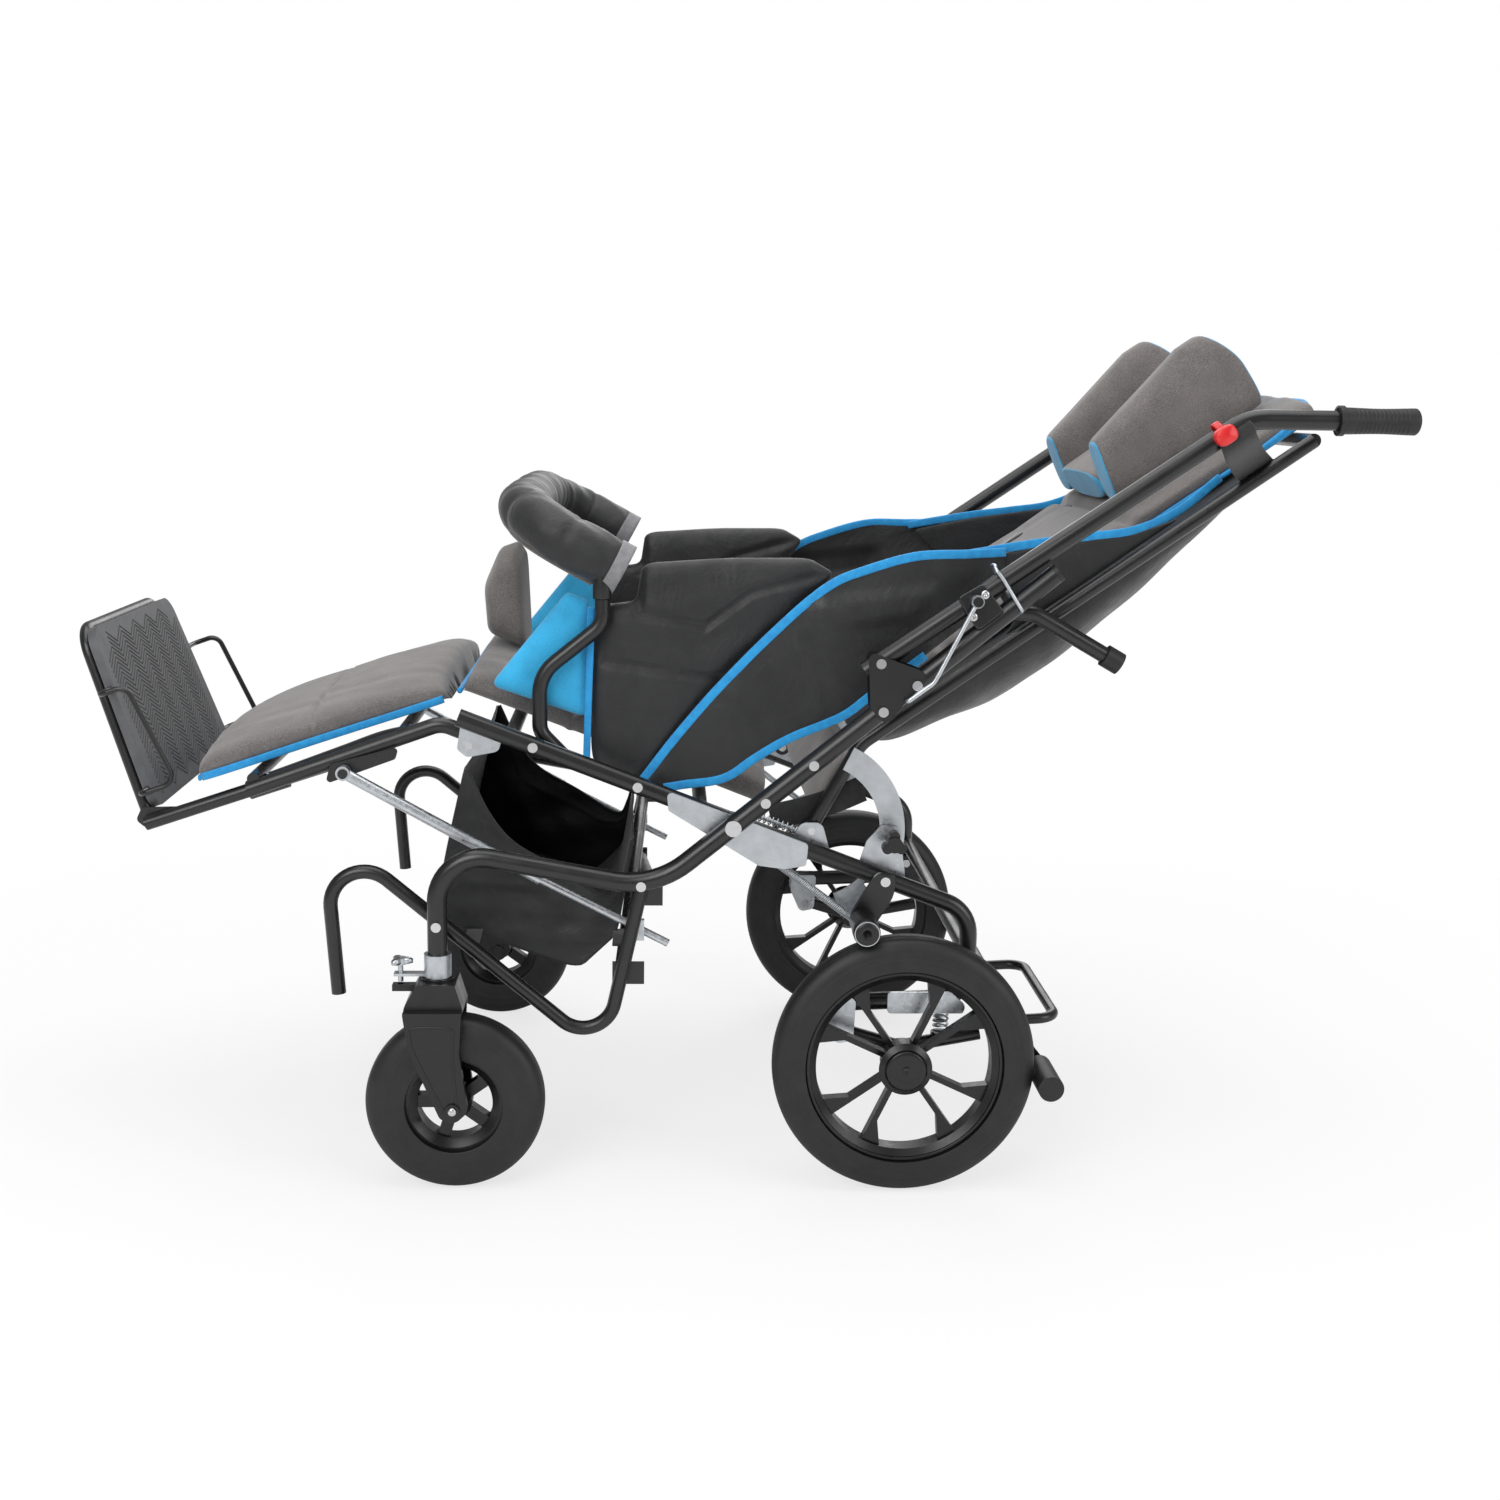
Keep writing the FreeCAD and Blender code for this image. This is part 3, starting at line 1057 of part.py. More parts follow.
def backrest():
    """Back tubes with their recline plates, the back pad, the hanging shell and the wings."""
    recline = (size("recline_x"), size("recline_height"))
    top = back_point(size("back_length"), 0)
    bend_at = (size("back_knee_x"), size("back_knee_height"), 40)
    side = tube("back_tube", [recline, bend_at, top], "back_tube_radius", "back_tube_lane",
                wall=None)
    eye = rod("back_eye", *recline, "sizes.back_tube_radius + 3",
              "sizes.back_tube_lane - sizes.back_tube_radius",
              "sizes.back_tube_lane + sizes.back_tube_radius")
    whole = fused("back_tube_eyed", [side, eye])
    bore = rod("back_bore", *recline, "sizes.knob_stud_radius + sizes.bolt_clearance",
               "sizes.back_tube_lane - 12", "sizes.back_tube_lane + 12")
    left = drilled("back_tube_drilled", whole, [bore])
    cross = doc.addObject("Part::Cylinder", "back_cross")
    cross.setExpression("Radius", "sizes.back_tube_radius")
    cross.setExpression("Height", "2 * (sizes.back_tube_lane)")
    cross.Placement = Placement(Vector(0, 0, top[1]), Rotation(Vector(1, 0, 0), 90))
    cross.setExpression("Placement.Base.x", f"sizes.rear_axle_x + {top[0]}")
    cross.setExpression("Placement.Base.y", "sizes.back_tube_lane")
    back_tubes = fused("back_tubes", [left, mirrored(left, "right_back_tube"), cross])

    gear = slot_plate("recline_quadrant", recline, size("quadrant_inner"),
                      size("quadrant_outer"), size("quadrant_slot_radius"),
                      size("knob_stud_radius") + size("fit_gap"), (-70, 64), (-45.5, -1.5),
                      "back_tube_lane", " + sizes.back_tube_radius")
    quadrants = pair("recline_quadrants", [gear])

    base = size("back_tube_radius") + size("fit_gap")
    pad = shape_part("upper_pad", cushion(
        back_point(-4, base), back_point(634, base), 1, size("back_pad_thickness"),
        size("seat_half_width"), channelled((0.22, 0.42, 0.62)),
    ))
    low = polar(recline, 60.6, 14)
    high = polar(recline, 60.6, 96)
    lumbar = shape_part("lumbar_pad", cushion(
        polar(low, 150.6, -6.6), polar(high, 150.6, -6.6), 1, size("back_pad_thickness") - 6,
        size("shell_half"), PLAIN_ENDS,
    ))
    back_pad = group("back_pad", [pad, lumbar])

    shell_points = [
        (*back_point(2, 6), 4), (-14, 478, 8), (-7, 480, 6), (109, 551, 60), (172, 596, 60),
        (222, 647, 60), (285, 718, 60), (374, 794, 30), (*back_point(540, 6), 2),
    ]
    shell_body = plate("back_pocket", shell_points, "shell_width", None)
    shell_body.setExpression("Placement.Base.y", "sizes.shell_width / 2")
    flare = plate("back_wing",
                  [(66, 706, 14), (251, 738, 20), (*back_point(436, 6.3), 12),
                   (*back_point(200, 6.3), 12), (132, 650, 20)],
                  "wedge_thickness", "shell_half", (), " - sizes.wedge_thickness")
    back_shell = group("back_shell", [shell_body, flare, mirrored(flare, "right_wing")])
    return [back_tubes, quadrants, back_pad, back_shell]


def headrest():
    """The U-shaped head support that slides along the back."""
    base = (size("back_tube_radius") + 2 * size("fit_gap") + size("back_pad_thickness")
            + size("crown"))
    low, high = back_point(401, base), back_point(606, base)
    middle = cushion(low, high, 1, size("headrest_base"), size("headrest_inner") + 6, PLAIN_ENDS)
    profile = [(0, 2, 8), (14, 76, 20), (172, 108, 16), (184, 106, 12), (206, 58, 16), (205, 2, 8)]
    outline = [(*polar(polar(low, size("back_slope"), s), size("back_slope") + 90, off), r)
               for s, off, r in profile]
    wing = padded_panel(outline, size("headrest_inner"), size("headrest_outer"), 12)
    other = wing.mirror(Vector(0, 0, 0), Vector(0, 1, 0))
    return [shape_part("headrest", middle.fuse([wing, other]))]


def recline_knobs():
    """The clamp knob of each recline plate, with its stud through the slot."""
    recline = (size("recline_x"), size("recline_height"))
    stud = polar(recline, size("stud_angle"), size("quadrant_slot_radius"))
    inner = "sizes.back_tube_lane + sizes.back_tube_radius - sizes.fit_gap"
    grip_in = "sizes.seat_tube_lane + sizes.seat_tube_radius + 2.5"
    shank = rod("knob_shank", *stud, "sizes.knob_stud_radius", f"{inner} - 4", grip_in)
    nut = rod("knob_nut", *stud, "sizes.knob_stud_radius + 3", f"{inner} - 4", inner)
    boss = rod("knob_boss", *stud, "sizes.knob_stud_radius + 3",
               "sizes.seat_tube_lane - sizes.seat_tube_radius + sizes.fit_gap", grip_in)
    pieces = [shank, nut, boss, rod("knob_core", *stud, "9", grip_in, f"{grip_in} + 14")]
    for k, angle in enumerate((90, 210, 330)):
        lobe = polar(stud, angle, 9)
        pieces.append(rod(f"knob_lobe_{k}", *lobe, "6", grip_in, f"{grip_in} + 12"))
    return both_sides("recline_knob", [fused("knob", pieces)])


def leg_rest():
    """Leg rest frame and its pad, the struts and the sliding foot tubes."""
    knee = (size("knee_x"), size("knee_height"))
    side = tube("leg_tube", [(-484, 503), (-520, 517, 30), (-735, 440)], "leg_tube_radius",
                "leg_tube_lane", wall=None)
    lane_in = "sizes.leg_tube_lane - sizes.leg_tube_radius"
    link_in = ("sizes.seat_tube_lane - sizes.seat_tube_radius - sizes.plate_thickness"
               " - sizes.fit_gap")
    eye = rod("knee_eye", *knee, "sizes.leg_tube_radius + 2", f"{lane_in} + 2", link_in)
    pin_x = size("strut_pin_x")
    pin_z = 517 + (pin_x + 520) * (517 - 440) / (735 - 520) - size("strut_pin_drop")
    pin_at = (pin_x, pin_z)
    strip = plate("adjuster_strip",
                  [(pin_x - 22, pin_z - 15, 4), (pin_x + 56, pin_z + 14, 4),
                   (pin_x + 60, pin_z + 28, 4), (pin_x - 16, pin_z + 8, 6)],
                  "plate_thickness", "leg_tube_lane", (),
                  " + sizes.leg_tube_radius - 1")
    pin = rod("strut_pin", *pin_at, "sizes.rod_bolt_radius",
              "sizes.leg_tube_lane + sizes.leg_tube_radius",
              "sizes.strut_lane + sizes.strut_radius + sizes.fit_gap")
    pin_head = rod("strut_pin_head", *pin_at, "sizes.bolt_head",
                   "sizes.strut_lane + sizes.strut_radius + sizes.fit_gap",
                   "sizes.strut_lane + sizes.strut_radius + sizes.fit_gap + 1.5")
    slide_angle = math.degrees(math.atan2(-74.3, -220))
    slide_start = (-640, 466)
    sleeve_at = polar(slide_start, slide_angle, 62)
    direction = Vector(math.cos(math.radians(slide_angle)), 0,
                       math.sin(math.radians(slide_angle)))
    sleeve = doc.addObject("Part::Feature", "slide_sleeve")
    sleeve.Shape = Part.makeCylinder(size("slide_radius") + 3, 46,
                                     Vector(sleeve_at[0], 0, sleeve_at[1]), direction)
    place(sleeve, "slide_lane")
    bore = doc.addObject("Part::Feature", "slide_bore")
    bore.Shape = Part.makeCylinder(size("slide_radius") + size("bolt_clearance"), 90,
                                   Vector(sleeve_at[0], 0, sleeve_at[1]) - direction * 20,
                                   direction)
    place(bore, "slide_lane")
    left = fused("leg_side", [side, eye, strip, pin, pin_head, sleeve])
    crosses = []
    for name, x, z, reach in (("leg_low_cross", -728.5, 453, 244), ("leg_top_cross", -562, 507, 244)):
        bar = doc.addObject("Part::Cylinder", name)
        bar.Radius = 7
        bar.Height = 2 * reach
        bar.Placement = Placement(Vector(0, reach, z), Rotation(Vector(1, 0, 0), 90))
        bar.setExpression("Placement.Base.x", f"sizes.rear_axle_x + ({x})")
        crosses.append(bar)
    whole = fused("leg_frame_whole", [left, mirrored(left, "leg_side_right")] + crosses)
    knee_bore = rod("knee_bore", *knee, "sizes.knob_stud_radius + sizes.bolt_clearance",
                    f"{lane_in} - 2", f"{link_in} + 1")
    tools = [knee_bore, mirrored(knee_bore, "knee_bore_right"), bore,
             mirrored(bore, "slide_bore_right")]
    leg_frame = drilled("leg_frame", whole, tools)

    calf_pad = shape_part("calf_pad", cushion(
        (-793.6, 438.7), (-519.6, 531.3), 1, size("calf_pad_thickness"), size("calf_half_width"),
        channelled((0.5,)),
    ))

    elbow, tail = (-409, 343), (-265, 269)
    outer = tube("strut_sleeve", [pin_at, elbow], "strut_radius", "strut_lane", wall=None)
    inner_rod = tube("strut_rod", [elbow, tail], "strut_rod_radius", "strut_lane", wall=None)
    strut_eye = rod("strut_eye", *pin_at, "sizes.strut_radius + 1.5",
                    "sizes.strut_lane - sizes.strut_radius",
                    "sizes.strut_lane + sizes.strut_radius")
    strut_bore = rod("strut_bore", *pin_at, "sizes.rod_bolt_radius + sizes.bolt_clearance",
                     "sizes.strut_lane - 9", "sizes.strut_lane + 9")
    strut = drilled("strut", fused("strut_whole", [outer, inner_rod, strut_eye]), [strut_bore])
    struts = both_sides("leg_strut", [strut])

    hinge = (size("foot_hinge_x"), size("foot_hinge_height"))
    slide_end = polar(slide_start, slide_angle, 232)
    slide = tube("slide_tube", [slide_start, slide_end], "slide_radius", "slide_lane", wall=None)
    lug = plate("hinge_lug",
                [(hinge[0] - 11, hinge[1] - 3, 6), (hinge[0] - 4, hinge[1] + 12, 6),
                 (-822, 410, 6), (-818, 400, 5), (hinge[0], hinge[1] - 12, 6)],
                "plate_thickness", "slide_lane", (),
                " - sizes.slide_radius - sizes.plate_thickness + 1")
    foot_pin = rod("foot_pin", *hinge, "sizes.knob_stud_radius", "sizes.foot_pin_inner",
                   "sizes.slide_lane - sizes.slide_radius")
    slides = pair("foot_slide_tubes", [fused("foot_slide", [slide, lug, foot_pin])])
    return [leg_frame, calf_pad] + struts + [slides]


def footplate():
    """Footplate board, the tube loop behind it and the wire guards at its sides."""
    tilt = size("footplate_tilt")
    hinge = Vector(size("foot_hinge_x"), 0, size("foot_hinge_height"))
    up = Vector(math.cos(math.radians(tilt)), 0, math.sin(math.radians(tilt)))
    face = Vector(math.cos(math.radians(tilt - 90)), 0, math.sin(math.radians(tilt - 90)))
    across = Vector(0, 1, 0)
    long, thick = size("footplate_length"), size("footplate_thickness")
    low_half, high_half = size("footplate_half_low"), size("footplate_half_high")
    clear = size("foot_loop_radius") + size("fit_gap")

    def spot(u, v, off):
        return hinge + up * u + across * v + face * off

    corners = [(6, -low_half), (6 + long, -high_half), (6 + long, high_half), (6, low_half)]
    ring = Part.Wire(Part.__sortEdges__([
        e.toShape() for e in bent([spot(u, v, clear) for u, v in corners], [16, 26, 26, 16], True)
    ]))
    board = shape_part("footplate_board", Part.Face(ring).extrude(face * thick))

    eye_half = size("foot_loop_half")
    loop = round_bar([spot(0, -eye_half, 0), spot(222, -155, 0), spot(222, 155, 0),
                      spot(0, eye_half, 0)], [0, 34, 34, 0], size("foot_loop_radius"))
    eyes, bores = [], []
    for turn in (-1, 1):
        start = hinge + across * (turn * (size("foot_pin_inner") + 1))
        reach = size("slide_lane") - size("slide_radius") - size("foot_pin_inner") - 3.5
        eyes.append(Part.makeCylinder(9, reach, start, across * turn))
        bores.append(Part.makeCylinder(size("knob_stud_radius") + size("bolt_clearance"), 40,
                                       start - across * (10 * turn), across * turn))
    frame = shape_part("footplate_frame", loop.fuse(eyes).cut(bores[0].fuse(bores[1])))

    def edge_at(u):
        taper = (low_half - high_half) / long
        return low_half - taper * (u - 6) + 1.05 * taper * size("wire_radius")

    middle = clear + thick / 2
    guards = []
    for turn in (-1, 1):
        lane = turn * size("guard_lane")
        points = [
            spot(30, turn * edge_at(30), middle), spot(30, lane, middle),
            spot(30, lane, middle + 44), spot(150, lane, middle + 32), spot(150, lane, middle),
            spot(150, turn * edge_at(150), middle),
        ]
        guards.append(shape_part(f"guard_{'ab'[turn > 0]}",
                                 round_bar(points, [0, 10, 14, 14, 10, 0], size("wire_radius"))))
    return [board, frame, group("foot_guards", guards)]


def round_bar(points, bends, radius):
    """A round bar bent in space through corners with their bend radii."""
    path = Part.Wire([e.toShape() for e in bent(points, bends)])
    ahead = (points[1] - points[0]).normalize()
    ring = Part.Wire(Part.makeCircle(radius, points[0], ahead))
    return path.makePipeShell([ring], True, False)


def brakes():
    """Upper brake arm with its peg on each side, and the foot brake across the rear."""
    pivot = (size("brake_pivot_x"), seat_line(size("brake_pivot_x")))
    radius = size("rear_wheel_radius")
    reach = radius + size("peg_radius") + size("brake_gap")
    peg_at = polar((0, radius), 106.9, reach)
    lane = " + sizes.seat_tube_radius + sizes.brake_lane_gap"
    outline = [
        (pivot[0] + 11, pivot[1] + 8, 9), (pivot[0] - 10, pivot[1] + 11, 9),
        (peg_at[0] - 15, peg_at[1] + 4, 12), (peg_at[0] - 10, peg_at[1] - 14, 12),
        (peg_at[0] + 13, peg_at[1] - 8, 12), (pivot[0] + 10, pivot[1] - 16, 20),
    ]
    arm = plate("brake_plate", outline, "plate_thickness", "seat_tube_lane",
                [(*pivot, "knob_stud_radius", " + sizes.bolt_clearance")], lane)
    inner = "sizes.seat_tube_lane" + lane
    peg = rod("brake_peg", *peg_at, "sizes.peg_radius", inner, "sizes.peg_end")
    recess = rod("brake_recess", *peg_at, "5", "sizes.peg_end - 6", "sizes.peg_end + 1")
    stud = rod("brake_stud", -47, 297, "sizes.spring_stud_radius", "sizes.seat_tube_lane - 3",
               inner)
    whole = drilled("brake_arm", fused("brake_whole", [arm, peg, stud]), [recess])
    arms = both_sides("brake_arm", [whole])

    hook_end, stud_end = Vector(-147, 0, 371), Vector(-47, 0, 297)
    axis = (stud_end - hook_end).normalize()
    coil = doc.addObject("Part::Feature", "brake_coil")
    coil.Shape = spring(hook_end + axis * 0.95, stud_end - axis * 0.95,
                        size("long_coil_radius"), size("long_wire_radius"),
                        size("long_spring_turns"))
    place(coil, "seat_tube_lane", " + 4")
    springs = pair("brake_springs", [coil])

    rear_at = polar((0, radius), -7.2, radius + size("rear_peg_radius") + size("rear_peg_gap"))
    bar = doc.addObject("Part::Cylinder", "pedal_cross")
    bar.setExpression("Radius", "sizes.foot_loop_radius")
    bar.setExpression("Height", "2 * sizes.seat_tube_lane")
    bar.Placement = Placement(Vector(0, 0, rear_at[1]), Rotation(Vector(1, 0, 0), 90))
    bar.setExpression("Placement.Base.x", f"sizes.rear_axle_x + {rear_at[0]}")
    bar.setExpression("Placement.Base.y", "sizes.seat_tube_lane")
    pivot = (size("leg_x"), size("pedal_pivot_height"))
    angle = math.degrees(math.atan2(rear_at[1] - pivot[1], rear_at[0] - pivot[0]))
    top, bottom = polar(pivot, angle, -10), polar(rear_at, angle, 9)
    link = plate("pedal_link",
                 [(*polar(top, angle + 90, -10), 8), (*polar(top, angle + 90, 10), 8),
                  (*polar(bottom, angle + 90, 9), 7), (*polar(bottom, angle + 90, -9), 7)],
                 "pedal_thickness", "pedal_lane",
                 [(*pivot, "knob_stud_radius", " + sizes.bolt_clearance")])
    half = size("pedal_half_width")
    at = Vector(rear_at[0], 0, rear_at[1])
    reach = Vector(size("pedal_reach"), 0, 3)
    pedal = shape_part("pedal_loop", round_bar(
        [at + Vector(0, -half, 0), at + reach + Vector(0, -half, 0),
         at + reach + Vector(0, half, 0), at + Vector(0, half, 0)],
        [0, 24, 24, 0], size("foot_loop_radius") - 0.5,
    ))
    foot_brake = fused("foot_brake", [bar, link, mirrored(link, "pedal_link_right"), pedal])
    rear_peg = rod("rear_peg", *rear_at, "sizes.rear_peg_radius", "sizes.seat_tube_lane",
                   "sizes.peg_end")
    pegs = pair("foot_brake_pegs", [rear_peg])
    return arms + [springs, foot_brake, pegs]


def push_handles():
    """Push tubes hinged at the gussets, their grips and the locking levers."""
    hinge = push_hinge()
    slope = size("push_slope")
    rise = size("grip_height") - hinge[1]
    corner = hinge[0] + rise / math.tan(math.radians(slope))
    route = [
        polar(hinge, slope, -19),
        (corner, size("grip_height"), size("push_bend")),
        (size("push_tube_end_x"), size("grip_height")),
    ]
    bar = tube("push_bar", route, "push_radius", "side_tube_lane", wall=None)
    lever = (size("lever_x"), push_line(size("lever_x")))
    face = "sizes.side_tube_lane + sizes.push_radius"
    boss = rod("lever_boss", *lever, "7", "sizes.side_tube_lane", f"{face} + 4")
    stand = f"{face} + sizes.lever_stand"
    pin = rod("lever_pin", *lever, "sizes.rod_bolt_radius", f"{face} + 3", f"{stand} + 3.5")
    pin_head = rod("lever_pin_head", *lever, "sizes.bolt_head", f"{stand} + 3.5",
                   f"{stand} + 5.5")
    bore = rod("hinge_bore", *hinge, "sizes.knob_stud_radius + sizes.bolt_clearance",
               "sizes.side_tube_lane - 14", "sizes.side_tube_lane + 14")
    whole = fused("push_whole", [bar, boss, pin, pin_head])
    tubes = both_sides("push_tube", [drilled("push_tube", whole, [bore])])

    grip = doc.addObject("Part::Cylinder", "grip_body")
    grip.setExpression("Radius", "sizes.grip_radius")
    grip.setExpression("Height", "sizes.grip_length")
    grip.Placement = Placement(Vector(0, 0, size("grip_height")),
                               Rotation(Vector(0, 1, 0), 90))
    grip.setExpression("Placement.Base.x", "sizes.rear_axle_x + sizes.grip_start_x")
    grip.setExpression("Placement.Base.y", "-sizes.side_tube_lane")
    flange = doc.addObject("Part::Cylinder", "grip_flange")
    flange.setExpression("Radius", "sizes.grip_radius + 2")
    flange.Height = 6
    flange.Placement = grip.Placement
    flange.setExpression("Placement.Base.x", "sizes.rear_axle_x + sizes.grip_start_x")
    flange.setExpression("Placement.Base.y", "-sizes.side_tube_lane")
    core = doc.addObject("Part::Cylinder", "grip_core")
    core.setExpression("Radius", "sizes.push_radius")
    core.setExpression("Height", "sizes.push_tube_end_x - sizes.grip_start_x + 10")
    core.Placement = grip.Placement
    core.setExpression("Placement.Base.x", "sizes.rear_axle_x + sizes.grip_start_x - 10")
    core.setExpression("Placement.Base.y", "-sizes.side_tube_lane")
    grips = both_sides("grip", [drilled("grip", fused("grip_whole", [grip, flange]), [core])])

    lane = size("push_radius") + size("lever_stand")
    eye = rod("lever_eye", *lever, "sizes.rod_bolt_radius + 4", f"{face} + 4.3",
              f"{stand} + 3.2")
    middle, tip = hinge[1] - 19, hinge[1] - 40
    points = [Vector(lever[0], -lane, lever[1]), Vector(19, -lane, middle),
              Vector(-9, -lane, tip), Vector(-9, -lane + 5, tip)]
    wire = doc.addObject("Part::Feature", "lever_wire")
    wire.Shape = round_bar(points, [0, 20, 3, 0], 2.5)
    place(wire, "side_tube_lane")
    bore = rod("lever_bore", *lever, "sizes.rod_bolt_radius + sizes.bolt_clearance",
               f"{face} + 3", f"{stand} + 4.5")
    levers = both_sides("lock_lever",
                        [drilled("lever", fused("lever_whole", [eye, wire]), [bore])])
    return tubes + grips + levers


def grab_bar():
    """The padded bar across the front, turning on a pin in the right-hand socket."""
    end = Vector(size("bar_end_x"), 0, size("bar_end_height"))
    front = Vector(size("bar_front_x"), 0, size("bar_front_height"))
    half, radius = size("bar_half_width"), size("bar_pad_radius")
    across = Vector(0, 1, 0)
    points = [end - across * half, front - across * half, front + across * half,
              end + across * half]
    bar = round_bar(points, [0, size("bar_bend"), size("bar_bend"), 0], radius)
    lane, foot = size("socket_lane"), size("bar_socket_height") + size("fit_gap")
    x = size("bar_pivot_x")
    feet = [Part.makeCylinder(size("socket_radius") + 2, 30, Vector(x, turn * lane, foot))
            for turn in (-1, 1)]
    bore = Part.makeCylinder(5 + size("bolt_clearance"), size("bar_pin_length") + 1.5,
                             Vector(x, lane, foot - 1))
    return [shape_part("grab_bar", bar.fuse(feet).cut(bore))]


def basket():
    """The open fabric basket under the seat with its four hanging tabs."""
    wall, half = size("basket_wall"), size("basket_half_width")
    outer = [(-497, 460), (-524, 352), (-536, 285), (-367, 224), (-322, 268), (-303, 382)]
    rim = [(-306.5, 383), (-323, 307), (-441, 373), (-490, 462)]
    inner = []
    for i in range(1, len(outer) - 1):
        a, b, c = (Vector(*outer[i + k], 0) for k in (-1, 0, 1))
        back, ahead = (b - a).normalize(), (c - b).normalize()
        turn = back.getAngle(ahead)
        inward = (Vector(-back.y, back.x, 0) + Vector(-ahead.y, ahead.x, 0)).normalize()
        spot = b + inward * (wall / math.cos(turn / 2))
        inner.append((spot.x, spot.y))

    def block(points, reach):
        ring = Part.makePolygon([Vector(x, reach, z) for x, z in points + points[:1]])
        return Part.Face(ring).extrude(Vector(0, -2 * reach, 0))

    front_top, rear_top = (-497 + wall * 1.03, 480), (-303 - wall * 1.03, 400)
    bag = block(outer + rim, half)
    bag = bag.cut(block([front_top] + inner + [rear_top], half - wall))
    tabs = []
    for x, long, z in ((-494, 16, 273), (-332, 26, 271.5)):
        for turn in (-1, 1):
            start = half if turn > 0 else -size("hook_lane") + size("hook_radius")
            reach = size("hook_lane") - size("hook_radius") - half
            tabs.append(Part.makeBox(long, reach, 2, Vector(x, start, z - 1)))
    return [group("basket", [shape_part("basket_bag", bag),
                             shape_part("basket_tabs", Part.makeCompound(tabs))])]


def check(parts):
    """Stops with a message when an object failed or a sub-part has no valid solid."""
    failed = [o.Name for o in doc.Objects if {"Invalid", "Error"} & set(o.State)]
    for part in parts:
        shape = part.Shape
        if shape.isNull() or not shape.isValid() or not shape.Solids:
            failed.append(part.Label)
    if failed:
        raise RuntimeError(f"failed: {', '.join(failed)}")


def main():
    """Builds every sub-part, checks them and writes one STEP file for each."""
    fill_sheet()
    parts = main_frame() + basket() + caster() + rear_wheels() + swing_arms()
    parts += seat_frame() + seat_soft_parts() + backrest() + headrest() + recline_knobs()
    parts += leg_rest() + footplate() + brakes() + push_handles() + grab_bar()
    doc.recompute()
    check(parts)
    os.makedirs("parts", exist_ok=True)
    for part in parts:
        part.Shape.exportStep(f"parts/{part.Label}.step")
        print(f"{part.Label}: {len(part.Shape.Solids)} solids, {part.Shape.Volume:.0f} mm3")
    print(f"{len(parts)} sub-parts")


main()
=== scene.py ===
"""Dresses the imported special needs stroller: cloth, foam, rubber and small fittings on its frame.

Lengths are millimetres in the frame of the rear axle: x = 0 at the axle, z = 0 at the floor.
``to_row`` turns them into metres in the row frame when a mesh is made. Angles are degrees in
the side view, from x towards z.
"""
from __future__ import annotations

import json
import logging
import math
from dataclasses import dataclass
from enum import Enum
from typing import Sequence

import bmesh
import bpy
import numpy as np
from mathutils import Matrix

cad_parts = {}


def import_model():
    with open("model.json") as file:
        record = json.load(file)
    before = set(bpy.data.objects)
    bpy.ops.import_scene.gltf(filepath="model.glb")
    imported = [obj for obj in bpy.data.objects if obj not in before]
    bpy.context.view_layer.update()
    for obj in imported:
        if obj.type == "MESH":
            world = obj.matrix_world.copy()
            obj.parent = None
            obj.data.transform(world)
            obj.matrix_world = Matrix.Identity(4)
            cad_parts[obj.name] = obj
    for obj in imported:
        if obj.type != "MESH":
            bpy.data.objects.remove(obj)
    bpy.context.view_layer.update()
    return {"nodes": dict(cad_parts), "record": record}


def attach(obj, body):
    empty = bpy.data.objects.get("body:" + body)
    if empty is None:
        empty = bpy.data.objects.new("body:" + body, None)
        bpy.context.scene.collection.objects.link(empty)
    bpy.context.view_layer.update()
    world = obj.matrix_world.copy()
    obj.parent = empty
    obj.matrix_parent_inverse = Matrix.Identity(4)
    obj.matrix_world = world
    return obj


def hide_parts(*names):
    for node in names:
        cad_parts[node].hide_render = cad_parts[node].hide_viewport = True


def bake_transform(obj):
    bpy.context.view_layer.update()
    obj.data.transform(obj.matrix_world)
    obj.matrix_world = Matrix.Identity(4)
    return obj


LOG = logging.getLogger("stroller")
AXLE_X = 203.0
MERGE_M = 2e-5
THIN_M = 1e-5
TAU = 2 * math.pi
Y_AXIS = np.array([0, 1.0, 0])
# Reference directions of a sweep, kept off the directions that its path takes.
ACROSS = (0.02, 1, 0.03)
BAR_REF = (0.3, 0.1, 0.95)
Array = np.ndarray
Line = Sequence[Sequence[float]]
Object = bpy.types.Object
Node = bpy.types.Node


class Side(Enum):
    """A side of the stroller and the sign of its y."""

    LEFT = -1
    RIGHT = 1

    @property
    def word(self) -> str:
        """The side's name as the nodes spell it."""
        return self.name.lower()


def to_row(points: Array) -> Array:
    """Millimetres in the rear axle's frame to metres in the row frame.

    Args:
        points: any array whose last axis is x, y, z.

    Returns:
        The same points, moved and scaled.
    """
    return (np.asarray(points, float) + np.array([AXLE_X, 0, 0])) / 1000


def polar(origin: Sequence[float], angle: float, reach: float | Array
          ) -> tuple[float | Array, float | Array]:
    """The x and z of a point at an angle and a distance from origin."""
    a = math.radians(angle)
    return origin[0] + reach * math.cos(a), origin[1] + reach * math.sin(a)


def ray(angle: float) -> Array:
    """The unit vector at an angle in the side view."""
    return np.insert(polar((0, 0), angle, 1.0), 1, 0)


def lane(line: Line, y: float | Array) -> Array:
    """A line of the side view as points at one y, or at a y for each."""
    return np.insert(np.asarray(line, float), 1, y, axis=1)


